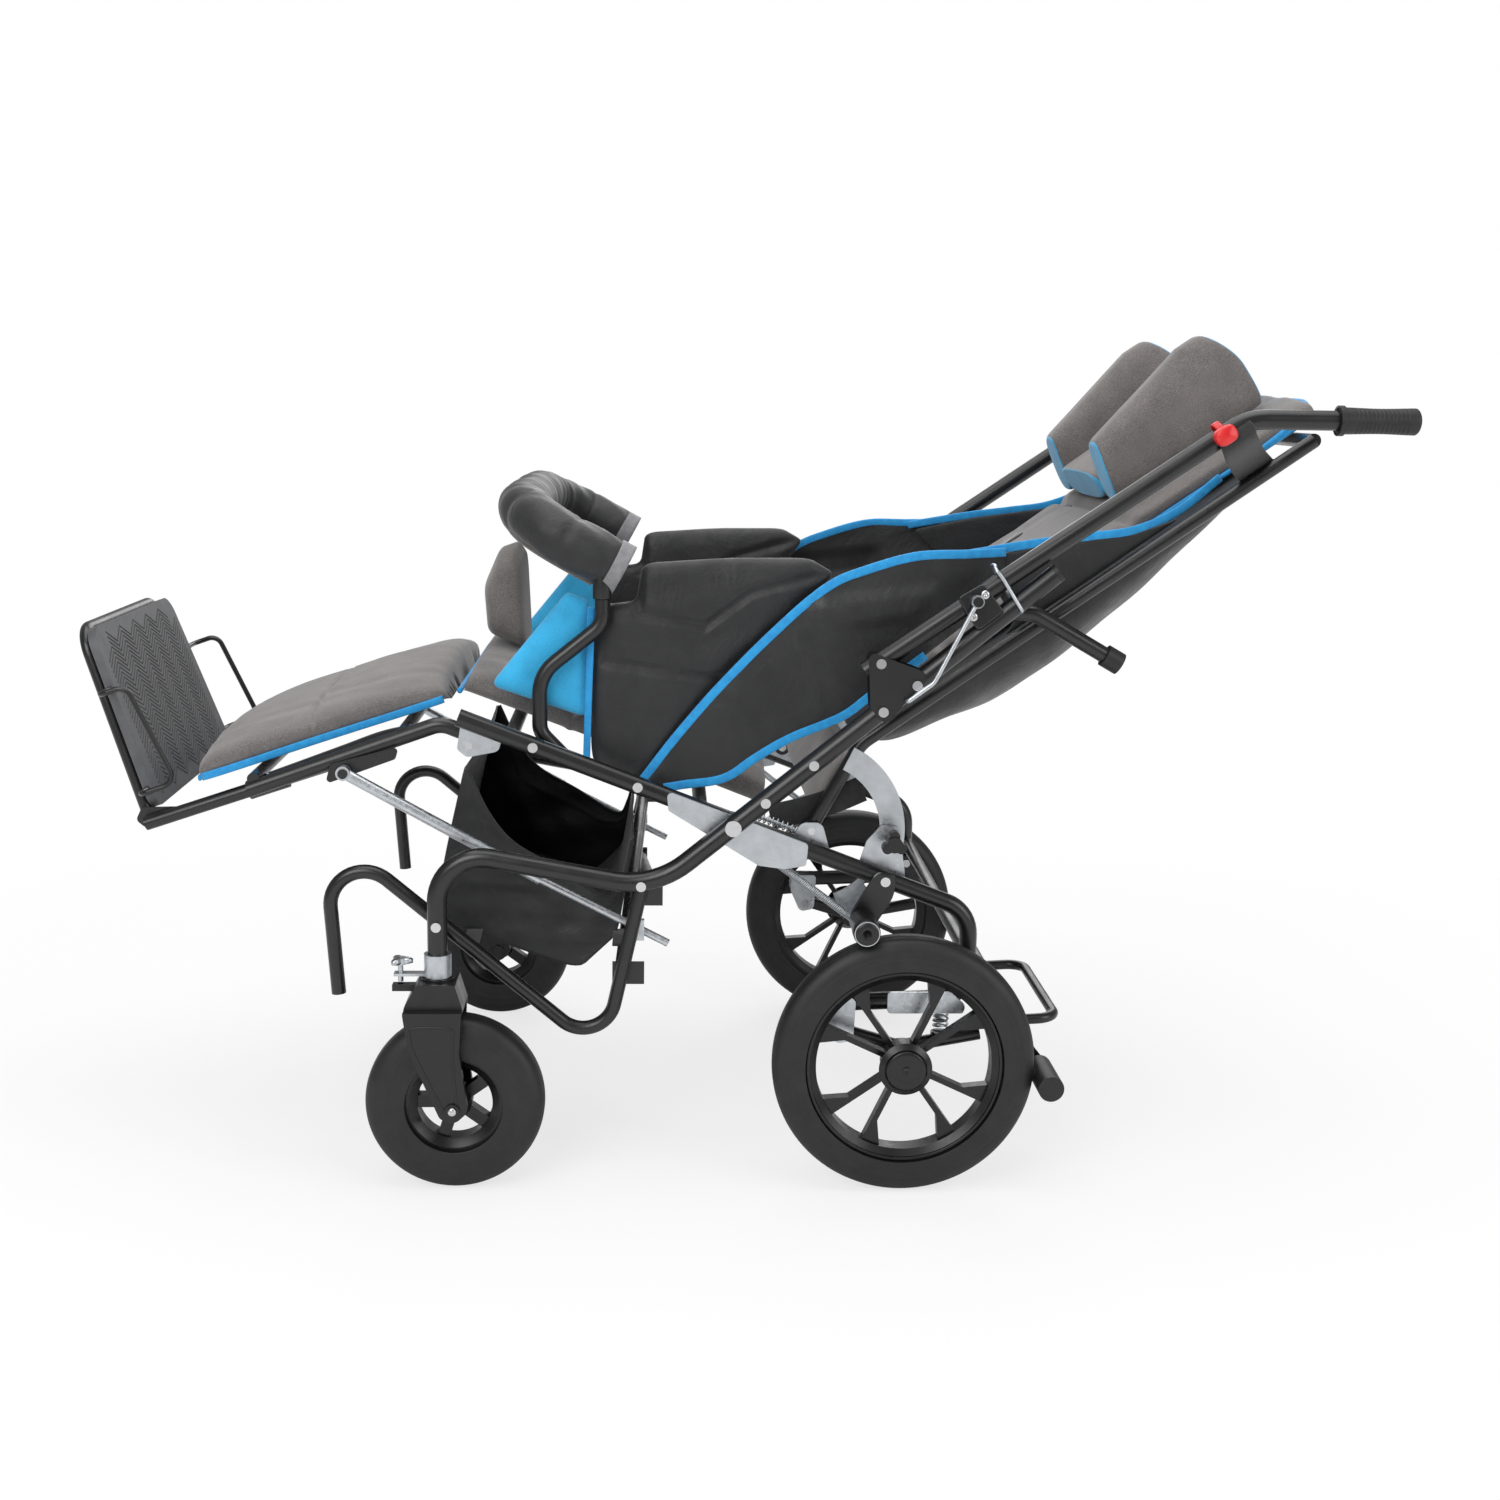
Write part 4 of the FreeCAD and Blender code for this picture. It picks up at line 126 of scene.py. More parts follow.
def spline(points: Line, count: int, closed: bool = False) -> Array:
    """A Catmull-Rom curve: each piece is a cubic that leaves a point along its neighbours' chord.

    Args:
        points: the points that it passes through.
        count: how many samples to return.
        closed: whether it returns to its first point.

    Returns:
        The samples, one row each, evenly spaced along the curve.
    """
    p = np.asarray(points, float)
    p = np.vstack([p[-1], p, p[0], p[1]]) if closed else np.vstack(
        [2 * p[0] - p[1], p, 2 * p[-1] - p[-2]])
    runs = len(p) - 3
    t = np.linspace(0, runs, 40 * runs + 1)[:, None]
    k = np.minimum(t.astype(int), runs - 1)[:, 0]
    s = t - k[:, None]
    a, b, c, d = p[k], p[k + 1], p[k + 2], p[k + 3]
    curve = 0.5 * (2 * b + (c - a) * s + (2 * a - 5 * b + 4 * c - d) * s**2
                   + (3 * b - a - 3 * c + d) * s**3)
    return even(curve, count, closed)


def even(curve: Array, count: int, closed: bool = False) -> Array:
    """Samples of a polyline at equal steps of its length, without the last one if closed."""
    step = np.linalg.norm(np.diff(curve, axis=0), axis=1)
    length = np.concatenate([[0], np.cumsum(step)])
    at = np.linspace(0, length[-1], count + 1 if closed else count)[:count]
    return np.stack([np.interp(at, length, curve[:, i]) for i in range(curve.shape[1])], 1)


def rounded(corners: Line, count: int, soft: float = 0.22, closed: bool = True) -> Array:
    """A line whose corners are cut by quadratic arcs.

    Args:
        corners: the corners in order.
        count: how many samples to return.
        soft: share of each side that a corner's arc takes at each end.
        closed: whether it is a loop; an open line keeps its end points.

    Returns:
        The samples in order, evenly spaced.
    """
    p = np.asarray(corners, float)
    before, at, after = ((np.roll(p, 1, 0), p, np.roll(p, -1, 0)) if closed
                         else (p[:-2], p[1:-1], p[2:]))
    start, stop = at + (before - at) * soft, at + (after - at) * soft
    t = np.linspace(0, 1, 9)[None, :, None]
    arcs = start[:, None] * (1 - t) ** 2 + 2 * at[:, None] * t * (1 - t) + stop[:, None] * t**2
    loop = arcs.reshape(-1, p.shape[1])
    return even(np.vstack([loop, loop[:1]] if closed else [p[:1], loop, p[-1:]]), count, closed)


def power(value: Array, exponent: float) -> Array:
    """A signed power, which turns a circle's sine and cosine into a superellipse's."""
    return np.sign(value) * np.abs(value) ** exponent


def bell(value: Array, width: float, exponent: int = 2) -> Array:
    """A smooth hill of height 1 and about the given half width."""
    return np.exp(-((value / width) ** exponent))


def ripple(points: Array, height: float, span: float, seed: int) -> Array:
    """Gentle cloth waves: a sum of six sine waves in fixed directions.

    Args:
        points: where the waves are read.
        height: about half the height of the waves.
        span: about the length of one wave.
        seed: which set of directions.

    Returns:
        One height for each point.
    """
    rng = np.random.default_rng(seed)
    total = np.zeros(points.shape[:-1])
    for k in range(6):
        direction = rng.normal(size=3)
        direction *= TAU / (span * (0.6 + 0.25 * k)) / np.linalg.norm(direction)
        total += np.sin(points @ direction + rng.uniform(0, TAU)) / (1 + 0.4 * k)
    return height * total / 2.2


class Maker:
    """Turns arrays of points into mesh objects with outward faces."""

    @staticmethod
    def grid(name: str, points: Array, wrap_u: bool = False, wrap_v: bool = False,
             caps: bool = False, recalc: bool = True) -> Object:
        """A surface on a grid of points.

        Args:
            name: the piece's name.
            points: rows by columns by x, y, z, in millimetres.
            wrap_u: whether the last row joins the first.
            wrap_v: whether the last column joins the first.
            caps: whether the first and last rows are closed by fans.
            recalc: whether doubles are merged and faces turned outwards.

        Returns:
            The new object at the origin.
        """
        rows, cols = points.shape[:2]
        verts = points.reshape(-1, 3)
        index = np.arange(rows * cols).reshape(rows, cols)
        if wrap_u:
            index = np.vstack([index, index[:1]])
        if wrap_v:
            index = np.hstack([index, index[:, :1]])
        quads = np.stack([index[:-1, :-1], index[:-1, 1:], index[1:, 1:], index[1:, :-1]], -1)
        faces = quads.reshape(-1, 4).tolist()
        if caps:
            for ring in (index[0], index[-1]):
                verts = np.vstack([verts, verts[ring[:cols]].mean(0)])
                centre = len(verts) - 1
                faces += [[int(a), int(b), centre] for a, b in zip(ring[:-1], ring[1:])]
        return Maker.mesh(name, verts, faces, recalc)

    @staticmethod
    def mesh(name: str, verts: Array, faces: Line, recalc: bool = True) -> Object:
        """An object from points in millimetres and faces."""
        data = bpy.data.meshes.new(name)
        data.from_pydata(to_row(verts).tolist(), [], faces)
        if recalc:
            Maker.mend(data, MERGE_M, THIN_M)
        Maker.shade(data, True)
        data.update()
        return Maker.place(name, data)

    @staticmethod
    def place(name: str, data: bpy.types.Mesh) -> Object:
        """A mesh as an object at the origin of the scene."""
        obj = bpy.data.objects.new(name, data)
        bpy.context.scene.collection.objects.link(obj)
        return obj

    @staticmethod
    def mend(data: bpy.types.Mesh, merge: float, thin: float = 0.0) -> None:
        """Merges doubles, drops faces thinner than thin and turns the faces outwards."""
        work = bmesh.new()
        work.from_mesh(data)
        bmesh.ops.remove_doubles(work, verts=work.verts, dist=merge)
        if thin:
            bmesh.ops.dissolve_degenerate(work, edges=work.edges, dist=thin)
        bmesh.ops.recalc_face_normals(work, faces=work.faces)
        work.to_mesh(data)
        work.free()

    @staticmethod
    def shade(data: bpy.types.Mesh, smooth: bool) -> None:
        """Smooth or flat shading for every face."""
        data.polygons.foreach_set("use_smooth", np.full(len(data.polygons), smooth))

    @staticmethod
    def sweep(name: str, path: Array, half_a: float | Array, half_b: float | Array | None = None,
              sides: int = 12, ref: Sequence[float] = (0, 1, 0), square: float = 1.0,
              closed: bool = False) -> Object:
        """A profile carried along a path: an ellipse, or a superellipse for a flat strap.

        Each ring lies across the path, spanned by the reference direction less its share along
        the path, and by the cross product of the two.

        Args:
            name: the piece's name.
            path: points in millimetres.
            half_a: half size along the reference direction.
            half_b: half size across it, as half_a if None.
            sides: points round the profile.
            ref: the reference direction.
            square: 1 for round, smaller for squarer.
            closed: whether the path is a loop.

        Returns:
            The new object, its ends closed.
        """
        around = np.roll(path, -1, 0) - np.roll(path, 1, 0)
        if not closed:
            around[0], around[-1] = path[1] - path[0], path[-1] - path[-2]
        ahead = around / np.linalg.norm(around, axis=1)[:, None]
        side = np.asarray(ref, float)[None] - (ahead @ np.asarray(ref, float))[:, None] * ahead
        side /= np.linalg.norm(side, axis=1)[:, None]
        other = np.cross(ahead, side)
        t = np.linspace(0, TAU, sides, endpoint=False)
        wide, tall = (np.broadcast_to(np.asarray(half, float), (len(path),))[:, None]
                      for half in (half_a, half_a if half_b is None else half_b))
        a, b = power(np.cos(t), square)[None] * wide, power(np.sin(t), square)[None] * tall
        points = path[:, None] + a[..., None] * side[:, None] + b[..., None] * other[:, None]
        return Maker.grid(name, points, wrap_u=closed, wrap_v=True, caps=not closed)

    @staticmethod
    def turned(name: str, profile: Line, centre: Sequence[float], axis: str = "y",
               steps: int = 96, sign: int = 1) -> Object:
        """A closed profile turned about an axis through centre.

        Args:
            name: the piece's name.
            profile: rows of distance along the axis and radius, a closed loop.
            centre: a point of the axis.
            axis: "x", "y" or "z".
            steps: copies round the turn.
            sign: -1 mirrors the profile along the axis.

        Returns:
            The new object.
        """
        length, radius = np.asarray(profile, float).T
        t = np.linspace(0, TAU, steps, endpoint=False)[:, None]
        along = np.broadcast_to(sign * length, (steps, len(length)))
        u, v = np.cos(t) * radius, np.sin(t) * radius
        order = {"x": (along, u, v), "y": (u, along, v), "z": (u, v, along)}[axis]
        return Maker.grid(name, np.stack(order, -1) + np.asarray(centre, float),
                          wrap_u=True, wrap_v=True)

    @staticmethod
    def joined(name: str, parts: Sequence[Object]) -> Object:
        """Several objects at the origin as one."""
        work = bmesh.new()
        for part in parts:
            work.from_mesh(part.data)
            bpy.data.objects.remove(part)
        data = bpy.data.meshes.new(name)
        work.to_mesh(data)
        work.free()
        return Maker.place(name, data)


class Tree:
    """A short way to write the node tree of a material or a world."""

    def __init__(self, owner: bpy.types.Material | bpy.types.World) -> None:
        """Opens the owner's tree."""
        owner.use_nodes = True
        self.nodes, self.links = owner.node_tree.nodes, owner.node_tree.links

    def add(self, kind: str, **values: object) -> Node:
        """A node with some of its inputs or properties set."""
        node = self.nodes.new(kind)
        for key, value in values.items():
            name = key.replace("_", " ").title()
            if name in node.inputs:
                node.inputs[name].default_value = value
            else:
                setattr(node, key, value)
        return node

    def link(self, a: Node, out: str | int, b: Node, into: str | int) -> None:
        """Joins one socket to another."""
        self.links.new(a.outputs[out], b.inputs[into])


class Cover(Tree):
    """A material's tree: a Principled shader, its output and Object coordinates."""

    def __init__(self, name: str, colour: Sequence[float], rough: float) -> None:
        """Starts a material of one colour and roughness."""
        self.material = bpy.data.materials.new(name)
        super().__init__(self.material)
        self.nodes.clear()
        self.shader = self.add("ShaderNodeBsdfPrincipled", base_color=(*colour, 1),
                               roughness=rough)
        self.out = self.add("ShaderNodeOutputMaterial")
        self.link(self.shader, "BSDF", self.out, "Surface")
        self.place = self.add("ShaderNodeTexCoord")

    def noise(self, scale: float, detail: float = 2.0, rough: float = 0.5,
              distortion: float = 0.0) -> Node:
        """Noise on Object coordinates: scale counts features in a metre."""
        node = self.add("ShaderNodeTexNoise", scale=scale, detail=detail, roughness=rough,
                        distortion=distortion)
        self.link(self.place, "Object", node, "Vector")
        return node

    def ramp(self, source: Node, stops: Sequence[float], low: Sequence[float],
             high: Sequence[float]) -> Node:
        """A ramp of a noise node from one colour at the first stop to another at the second."""
        node = self.add("ShaderNodeValToRGB")
        for stop, at, colour in zip(node.color_ramp.elements, stops, (low, high)):
            stop.position, stop.color = at, (*colour, 1)
        self.link(source, 0, node, "Fac")
        return node

    def bump(self, source: Node, strength: float, depth: float, under: Node | None,
             out: str | int = 0) -> Node:
        """A bump of a source, laid over another one if given."""
        node = self.add("ShaderNodeBump", strength=strength, distance=depth)
        self.link(source, out, node, "Height")
        if under:
            self.link(under, "Normal", node, "Normal")
        return node


@dataclass(frozen=True)
class Look:
    """The numbers of a covering's node tree.

    Attributes:
        tint: noise that mixes the two colours: scale, detail, roughness, distortion.
        stops: where on that noise the first colour ends and the second starts.
        cloudy: whether large soft patches shade the colour.
        shine: noise of the roughness: scale, detail, and how far it goes down and up.
        grains: bumps of scale, detail, strength and depth; scale 0 takes the tint's noise.
        threads: crossing threads: how many in a metre, and their strength.
        inputs: other inputs of the shader.
    """

    tint: tuple[float, ...] = ()
    stops: tuple[float, float] = (0.3, 0.7)
    cloudy: bool = False
    shine: tuple[float, ...] = ()
    grains: tuple[tuple[float, ...], ...] = ()
    threads: tuple[float, ...] = ()
    inputs: tuple[tuple[str, float], ...] = ()


class Weave(Enum):
    """What covers a surface."""

    MELANGE = Look((900, 3, 0.75), (0.34, 0.66), True,
                   grains=((30, 3, 0.35, 0.004), (0, 0, 0.5, 0.0006)),
                   inputs=(("Sheen Weight", 0.35), ("Sheen Roughness", 0.5)))
    # Painted shade and light: the tint reads the crease noise that also drives the bump, so crease
    # valleys are painted darker and ridges lighter.
    NYLON = Look((16, 5, 0.62, 0.6), (0.3, 0.75), shine=(40, 3, 0.06, 0.14),
                 grains=((0, 0, 0.55, 0.006),), threads=(260, 0.12),
                 inputs=(("Sheen Weight", 0.2),))
    BINDING = Look((120, 3, 0.6), (0.3, 0.72), grains=((24, 3, 0.25, 0.003),),
                   threads=(330, 0.2), inputs=(("Sheen Weight", 0.25),))
    COAT = Look(shine=(30, 3, 0.05, 0.08), grains=((700, 2, 0.12, 0.0003),),
                inputs=(("Coat Weight", 0.25), ("Coat Roughness", 0.3)))
    ZINC = Look((60, 4, 0.7), shine=(240, 3, 0.07, 0.13), grains=((900, 2, 0.08, 0.0002),),
                inputs=(("Metallic", 1.0),))
    RUBBER = Look((35, 5, 0.7), (0.35, 0.75), grains=((1100, 2, 0.2, 0.0003),))
    PLASTIC = Look(shine=(45, 3, 0.06, 0.08), grains=((1300, 2, 0.15, 0.0002),))
    CHROME = Look(shine=(400, 2, 0.1, 0.04), inputs=(("Metallic", 1.0),))
    LAMP = Look((90, 2), inputs=(("Subsurface Weight", 0.2),))


@dataclass(frozen=True)
class Finish:
    """One finish of the stroller: a look between two colours, drawn on Object coordinates."""

    name: str
    slot: str
    weave: Weave
    rough: float
    colour: tuple[float, float, float]
    second: tuple[float, float, float] | None = None

    def material(self) -> bpy.types.Material:
        """The finish's material, made on first use."""
        return bpy.data.materials.get(self.name) or self._make()

    def _make(self) -> bpy.types.Material:
        """The node tree of its look."""
        look, tree = self.weave.value, Cover(self.name, self.colour, self.rough)
        for key, value in look.inputs:
            tree.shader.inputs[key].default_value = value
        noise = tree.noise(*look.tint) if look.tint else None
        if noise:
            colour = tree.ramp(noise, look.stops, self.colour, self.second or self.colour)
            if look.cloudy:
                colour = self._clouded(tree, colour)
            tree.link(colour, 0, tree.shader, "Base Color")
        if look.shine:
            scale, detail, down, up = look.shine
            shine = tree.ramp(tree.noise(scale, detail), (0.3, 0.7), (self.rough - down,) * 3,
                              (self.rough + up,) * 3)
            tree.link(shine, 0, tree.shader, "Roughness")
        bump = None
        for scale, detail, strength, depth in look.grains:
            bump = tree.bump(tree.noise(scale, detail) if scale else noise, strength, depth, bump)
        for direction in "XYZ" if look.threads else "":
            count, strength = look.threads
            wave = tree.add("ShaderNodeTexWave", scale=count, distortion=0.6, detail=1.0,
                            bands_direction=direction)
            tree.link(tree.place, "Object", wave, "Vector")
            bump = tree.bump(wave, strength, 0.0002, bump, "Fac")
        if bump:
            tree.link(bump, 0, tree.shader, "Normal")
        return tree.material

    @staticmethod
    def _clouded(tree: Cover, colour: Node) -> Node:
        """A colour multiplied by a soft, slightly warm cloud."""
        cloud = tree.ramp(tree.noise(22, 4, 0.6), (0.3, 0.7), (0.8,) * 3, (1.12, 1.1, 1.08))
        mix = tree.add("ShaderNodeMixRGB", blend_type="MULTIPLY")
        mix.inputs[0].default_value = 1
        tree.link(colour, 0, mix, 1)
        tree.link(cloud, 0, mix, 2)
        return mix


GREY_MELANGE = Finish("grey_melange", "fabric_grey", Weave.MELANGE, 0.9,
                      (0.085, 0.078, 0.076), (0.24, 0.222, 0.215))
# Its first colour is the painted shade of the crease valleys, its second the painted light on the
# ridges.
BLACK_NYLON = Finish("black_nylon", "fabric_black", Weave.NYLON, 0.48,
                     (0.005, 0.0053, 0.006), (0.014, 0.0145, 0.016))
BLACK_WEBBING = Finish("black_webbing", "fabric_black", Weave.BINDING, 0.8,
                       (0.01, 0.01, 0.011), (0.022, 0.022, 0.024))
BLUE_CLOTH = Finish("blue_cloth", "", Weave.BINDING, 0.7, (0.006, 0.24, 0.58),
                    (0.012, 0.34, 0.72))
BLUE_VELOUR = Finish("blue_velour", "", Weave.MELANGE, 0.9, (0.02, 0.38, 0.74),
                     (0.05, 0.5, 0.86))
GREY_TAPE = Finish("grey_tape", "fabric_grey", Weave.BINDING, 0.7, (0.17, 0.17, 0.18),
                   (0.24, 0.24, 0.25))
STROKE_RUBBER = Finish("stroke_rubber", "footplate_rubber", Weave.RUBBER, 0.55,
                       (0.014, 0.014, 0.015), (0.03, 0.03, 0.031))
FRAME_COAT = Finish("frame_coat", "frame_black", Weave.COAT, 0.3, (0.005, 0.005, 0.0055))
ZINC_PLATE = Finish("zinc_plate", "zinc", Weave.ZINC, 0.33, (0.468, 0.4914, 0.5148),
                    (0.6, 0.63, 0.66))
TYRE_RUBBER = Finish("tyre_rubber", "tyre_black", Weave.RUBBER, 0.5, (0.006, 0.006, 0.0065),
                     (0.014, 0.014, 0.0145))
SOFT_RUBBER = Finish("soft_rubber", "rubber_black", Weave.RUBBER, 0.5,
                     (0.008, 0.008, 0.0085), (0.015, 0.015, 0.0155))
PLATE_RUBBER = Finish("plate_rubber", "footplate_rubber", Weave.RUBBER, 0.5,
                      (0.075, 0.077, 0.082), (0.115, 0.117, 0.122))
MOULDED = Finish("moulded_black", "plastic_black", Weave.PLASTIC, 0.34, (0.007, 0.007, 0.0075))
WHEEL_PLASTIC = Finish("wheel_plastic", "wheel_black", Weave.PLASTIC, 0.3,
                       (0.005, 0.005, 0.0055))
BRIGHT_BOLT = Finish("bright_bolt", "bolt_steel", Weave.CHROME, 0.24, (0.6, 0.6, 0.61))
LAMP_RED = Finish("lamp_red", "", Weave.LAMP, 0.3, (0.62, 0.012, 0.016), (0.72, 0.03, 0.03))
NODE_FINISHES = {finish.slot: finish for finish in (
    FRAME_COAT, ZINC_PLATE, BRIGHT_BOLT, MOULDED, WHEEL_PLASTIC, TYRE_RUBBER, SOFT_RUBBER,
    PLATE_RUBBER, BLACK_NYLON, GREY_MELANGE)}


def dress(obj: Object, finish: Finish, body: str | None, nodes: Sequence[str] = ()) -> Object:
    """Gives a piece its finish, its body and the nodes that it stands for.

    Args:
        obj: the piece.
        finish: its finish.
        body: the body that it rides on, or None to leave it unattached.
        nodes: the nodes that it replaces.

    Returns:
        The same piece.
    """
    obj.data.materials.clear()
    obj.data.materials.append(finish.material())
    if body:
        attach(obj, body)
    if nodes:
        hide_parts(*nodes)
    LOG.info("%s on %s", obj.name, body or "two bodies")
    return obj


def trim(name: str, path: Array, finish: Finish, body: str | None, half_a: float | Array,
         half_b: float | Array | None = None, sides: int = 10,
         ref: Sequence[float] = ACROSS, square: float = 1.0, closed: bool = False) -> Object:
    """A dressed sweep; its arguments are those of Maker.sweep and dress."""
    return dress(Maker.sweep(name, path, half_a, half_b, sides, ref, square, closed), finish,
                 body)


def strap(name: str, points: Line, body: str, half: float, thick: float,
          ref: Sequence[float] = (0, 1, 0), count: int = 40) -> None:
    """A flat band of black webbing along a smooth line."""
    trim(name, spline(points, count), BLACK_WEBBING, body, half, thick, 16, ref, 0.3)


def binding(name: str, path: Array, body: str | None, half: float = 5.0) -> Object:
    """A blue tape folded over an edge in the side view: wide across the edge, thin across y."""
    return trim(name, path, BLUE_CLOTH, body, 2.0, half, 14, square=0.55)


@dataclass
class Frame:
    """Sizes of the frame that the soft parts are set against."""

    seat_slope: float = -20.8
    back_slope: float = 34.9
    knee: tuple[float, float] = (-50.0, 500.0)
    pivot: tuple[float, float] = (-195.0, 415.9)
    tube: float = 8.3

    def seat(self, x: float, off: float) -> tuple[float, float]:
        """A point over the seat tube's line: x along the tube, off square to it."""
        z = self.pivot[1] + math.tan(math.radians(self.seat_slope)) * (x - self.pivot[0])
        return polar((x, z), self.seat_slope + 90, off)

    def back(self, along: float | Array, off: float | Array, y: float | Array = 0.0) -> Array:
        """Points of the backrest: along its tube from the knee, off it to the front, at y."""
        x, z = polar(polar(self.knee, self.back_slope, along), self.back_slope + 90, off)
        return np.stack(np.broadcast_arrays(x, y, z), -1)

    def back_view(self, along: float, off: float) -> tuple[float, float]:
        """The same point in the side view."""
        x, _, z = self.back(along, off)
        return x, z


FRAME = Frame()


@dataclass
class Pad:
    """A stuffed pad along a line of the side view.

    The surface has u along the pad and v round its section. The section is a superellipse of
    half width W(u) and height H(u), flat below; a crown lifts its middle, sewn channels narrow
    H(u) where they run, and both ends close with a superellipse of u. The sides are drawn in by
    draw at mid length.
    """

    name: str
    low: tuple[float, float]
    high: tuple[float, float]
    thick: float
    half: float
    crown: float = 6.0
    draw: float = 6.0
    seams: tuple[float, ...] = ()
    groove: float = 0.3
    groove_width: float = 0.012
    side_power: float = 0.42
    top_power: float = 0.55
    end_power: float = 7.0
    waves: float = 1.0
    span: float = 70.0
    seed: int = 1
    rows: int = 150
    cols: int = 120

    def section(self, u: Array) -> tuple[Array, Array]:
        """Half width and height at each share of the length."""
        end = (1 - np.abs(2 * u - 1) ** self.end_power) ** (1 / self.end_power)
        wide = self.half - self.draw * np.sin(math.pi * u) ** 2
        wide = wide * (0.93 + 0.07 * end) * np.where(end < 1e-3, 0.9, 1)
        tall = self.thick * end**0.75
        for seam in self.seams:
            tall = tall * (1 - self.groove * bell(u - seam, self.groove_width))
        return wide, tall

    def axes(self) -> tuple[Array, Array, Array]:
        """Its low end, the vector along it and the unit vector off it."""
        (ax, az), (bx, bz) = self.low, self.high
        along, up = np.array([[bx - ax, 0, bz - az], [az - bz, 0, bx - ax]])
        return np.array([ax, 0, az]), along, up / math.hypot(bx - ax, bz - az)

    def build(self) -> Object:
        """The pad's object."""
        u = (1 - np.cos(np.linspace(0, math.pi, self.rows))) / 2
        u = (0.35 * u + 0.65 * np.linspace(0, 1, self.rows))[:, None]
        v = np.linspace(0, TAU, self.cols, endpoint=False)[None]
        wide, tall = self.section(u)
        y = power(np.cos(v), self.side_power) * wide
        lift = power(np.sin(v), self.top_power)
        top = np.clip(lift, 0, 1) * tall / self.thick
        off = (0.5 + 0.5 * lift) * tall
        off = off + self.crown * top * np.clip(1 - (y / self.half) ** 2, 0, 1)
        low, along, up = self.axes()
        points = (low + u * along)[:, None] + off[..., None] * up + y[..., None] * Y_AXIS
        points += (ripple(points, self.waves, self.span, self.seed) * top)[..., None] * up
        return Maker.grid(self.name, points, wrap_v=True, caps=True)

    def edge(self, off: float, sign: int, start: float = 0.04, stop: float = 0.96) -> Array:
        """A line along one side of the pad, for its piping."""
        u = np.linspace(start, stop, 60)[:, None]
        low, along, up = self.axes()
        return low + u * along + off * up + sign * (self.section(u)[0] + 0.6) * Y_AXIS


@dataclass
class Pillow:
    """A stuffed panel between two lanes with an outline in the side view.

    The surface has v round the outline and t from the middle of a face to the rim: the outline
    is scaled by t, and y leaves the middle lane by half the thickness times
    (1 - t^sharp)^(1/2), so that the faces are flat and the rim is round. Sewn lines cut in by
    seam_depth over seam_width to each side.
    """

    name: str
    outline: Line
    inner: float
    outer: float
    sharp: float = 14.0
    soft: float = 0.22
    waves: float = 0.8
    span: float = 60.0
    seed: int = 3
    seams: tuple[tuple[tuple[float, float], tuple[float, float]], ...] = ()
    seam_depth: float = 4.6
    seam_width: float = 5.0
    rows: int = 44
    cols: int = 180

    def build(self, sign: int = 1) -> Object:
        """The panel's object on the side of the given sign of y."""
        rim = rounded(self.outline, self.cols, self.soft)
        middle = rim.mean(0)
        t = 1 - (1 - np.linspace(0.02, 1, self.rows)) ** 1.7
        lean = np.sqrt(np.clip(1 - t**self.sharp, 0, 1))
        t, lean = np.append(t, t[-2::-1]), np.append(lean, -lean[-2::-1])[:, None]
        flat = middle + (rim[None] - middle) * t[:, None, None]
        x, z = flat[..., 0], flat[..., 1]
        deep = np.zeros(x.shape)
        for (ax, az), (bx, bz) in self.seams:
            dx, dz = bx - ax, bz - az
            at = np.clip(((x - ax) * dx + (z - az) * dz) / math.hypot(dx, dz) ** 2, 0, 1)
            away = np.hypot(x - ax - at * dx, z - az - at * dz)
            deep = np.maximum(deep, self.seam_depth * bell(away, self.seam_width))
        points = np.stack([x, 0 * x, z], -1)
        wave = ripple(points, self.waves, self.span, self.seed) - 0.8 * self.waves
        half = (self.outer - self.inner) / 2
        points[..., 1] = sign * ((self.inner + self.outer) / 2 + lean * (half - deep + wave))
        return Maker.grid(self.name, points, wrap_v=True, caps=True)


def plate(name: str, outline: Line, lanes: tuple[float, float], soft: float, side: Side,
          body: str) -> None:
    """A flat coated plate between two lanes on one side."""
    shape = Pillow(name, outline, *lanes, sharp=40, soft=soft, waves=0.0, rows=16, cols=80)
    dress(shape.build(side.value), FRAME_COAT, body)


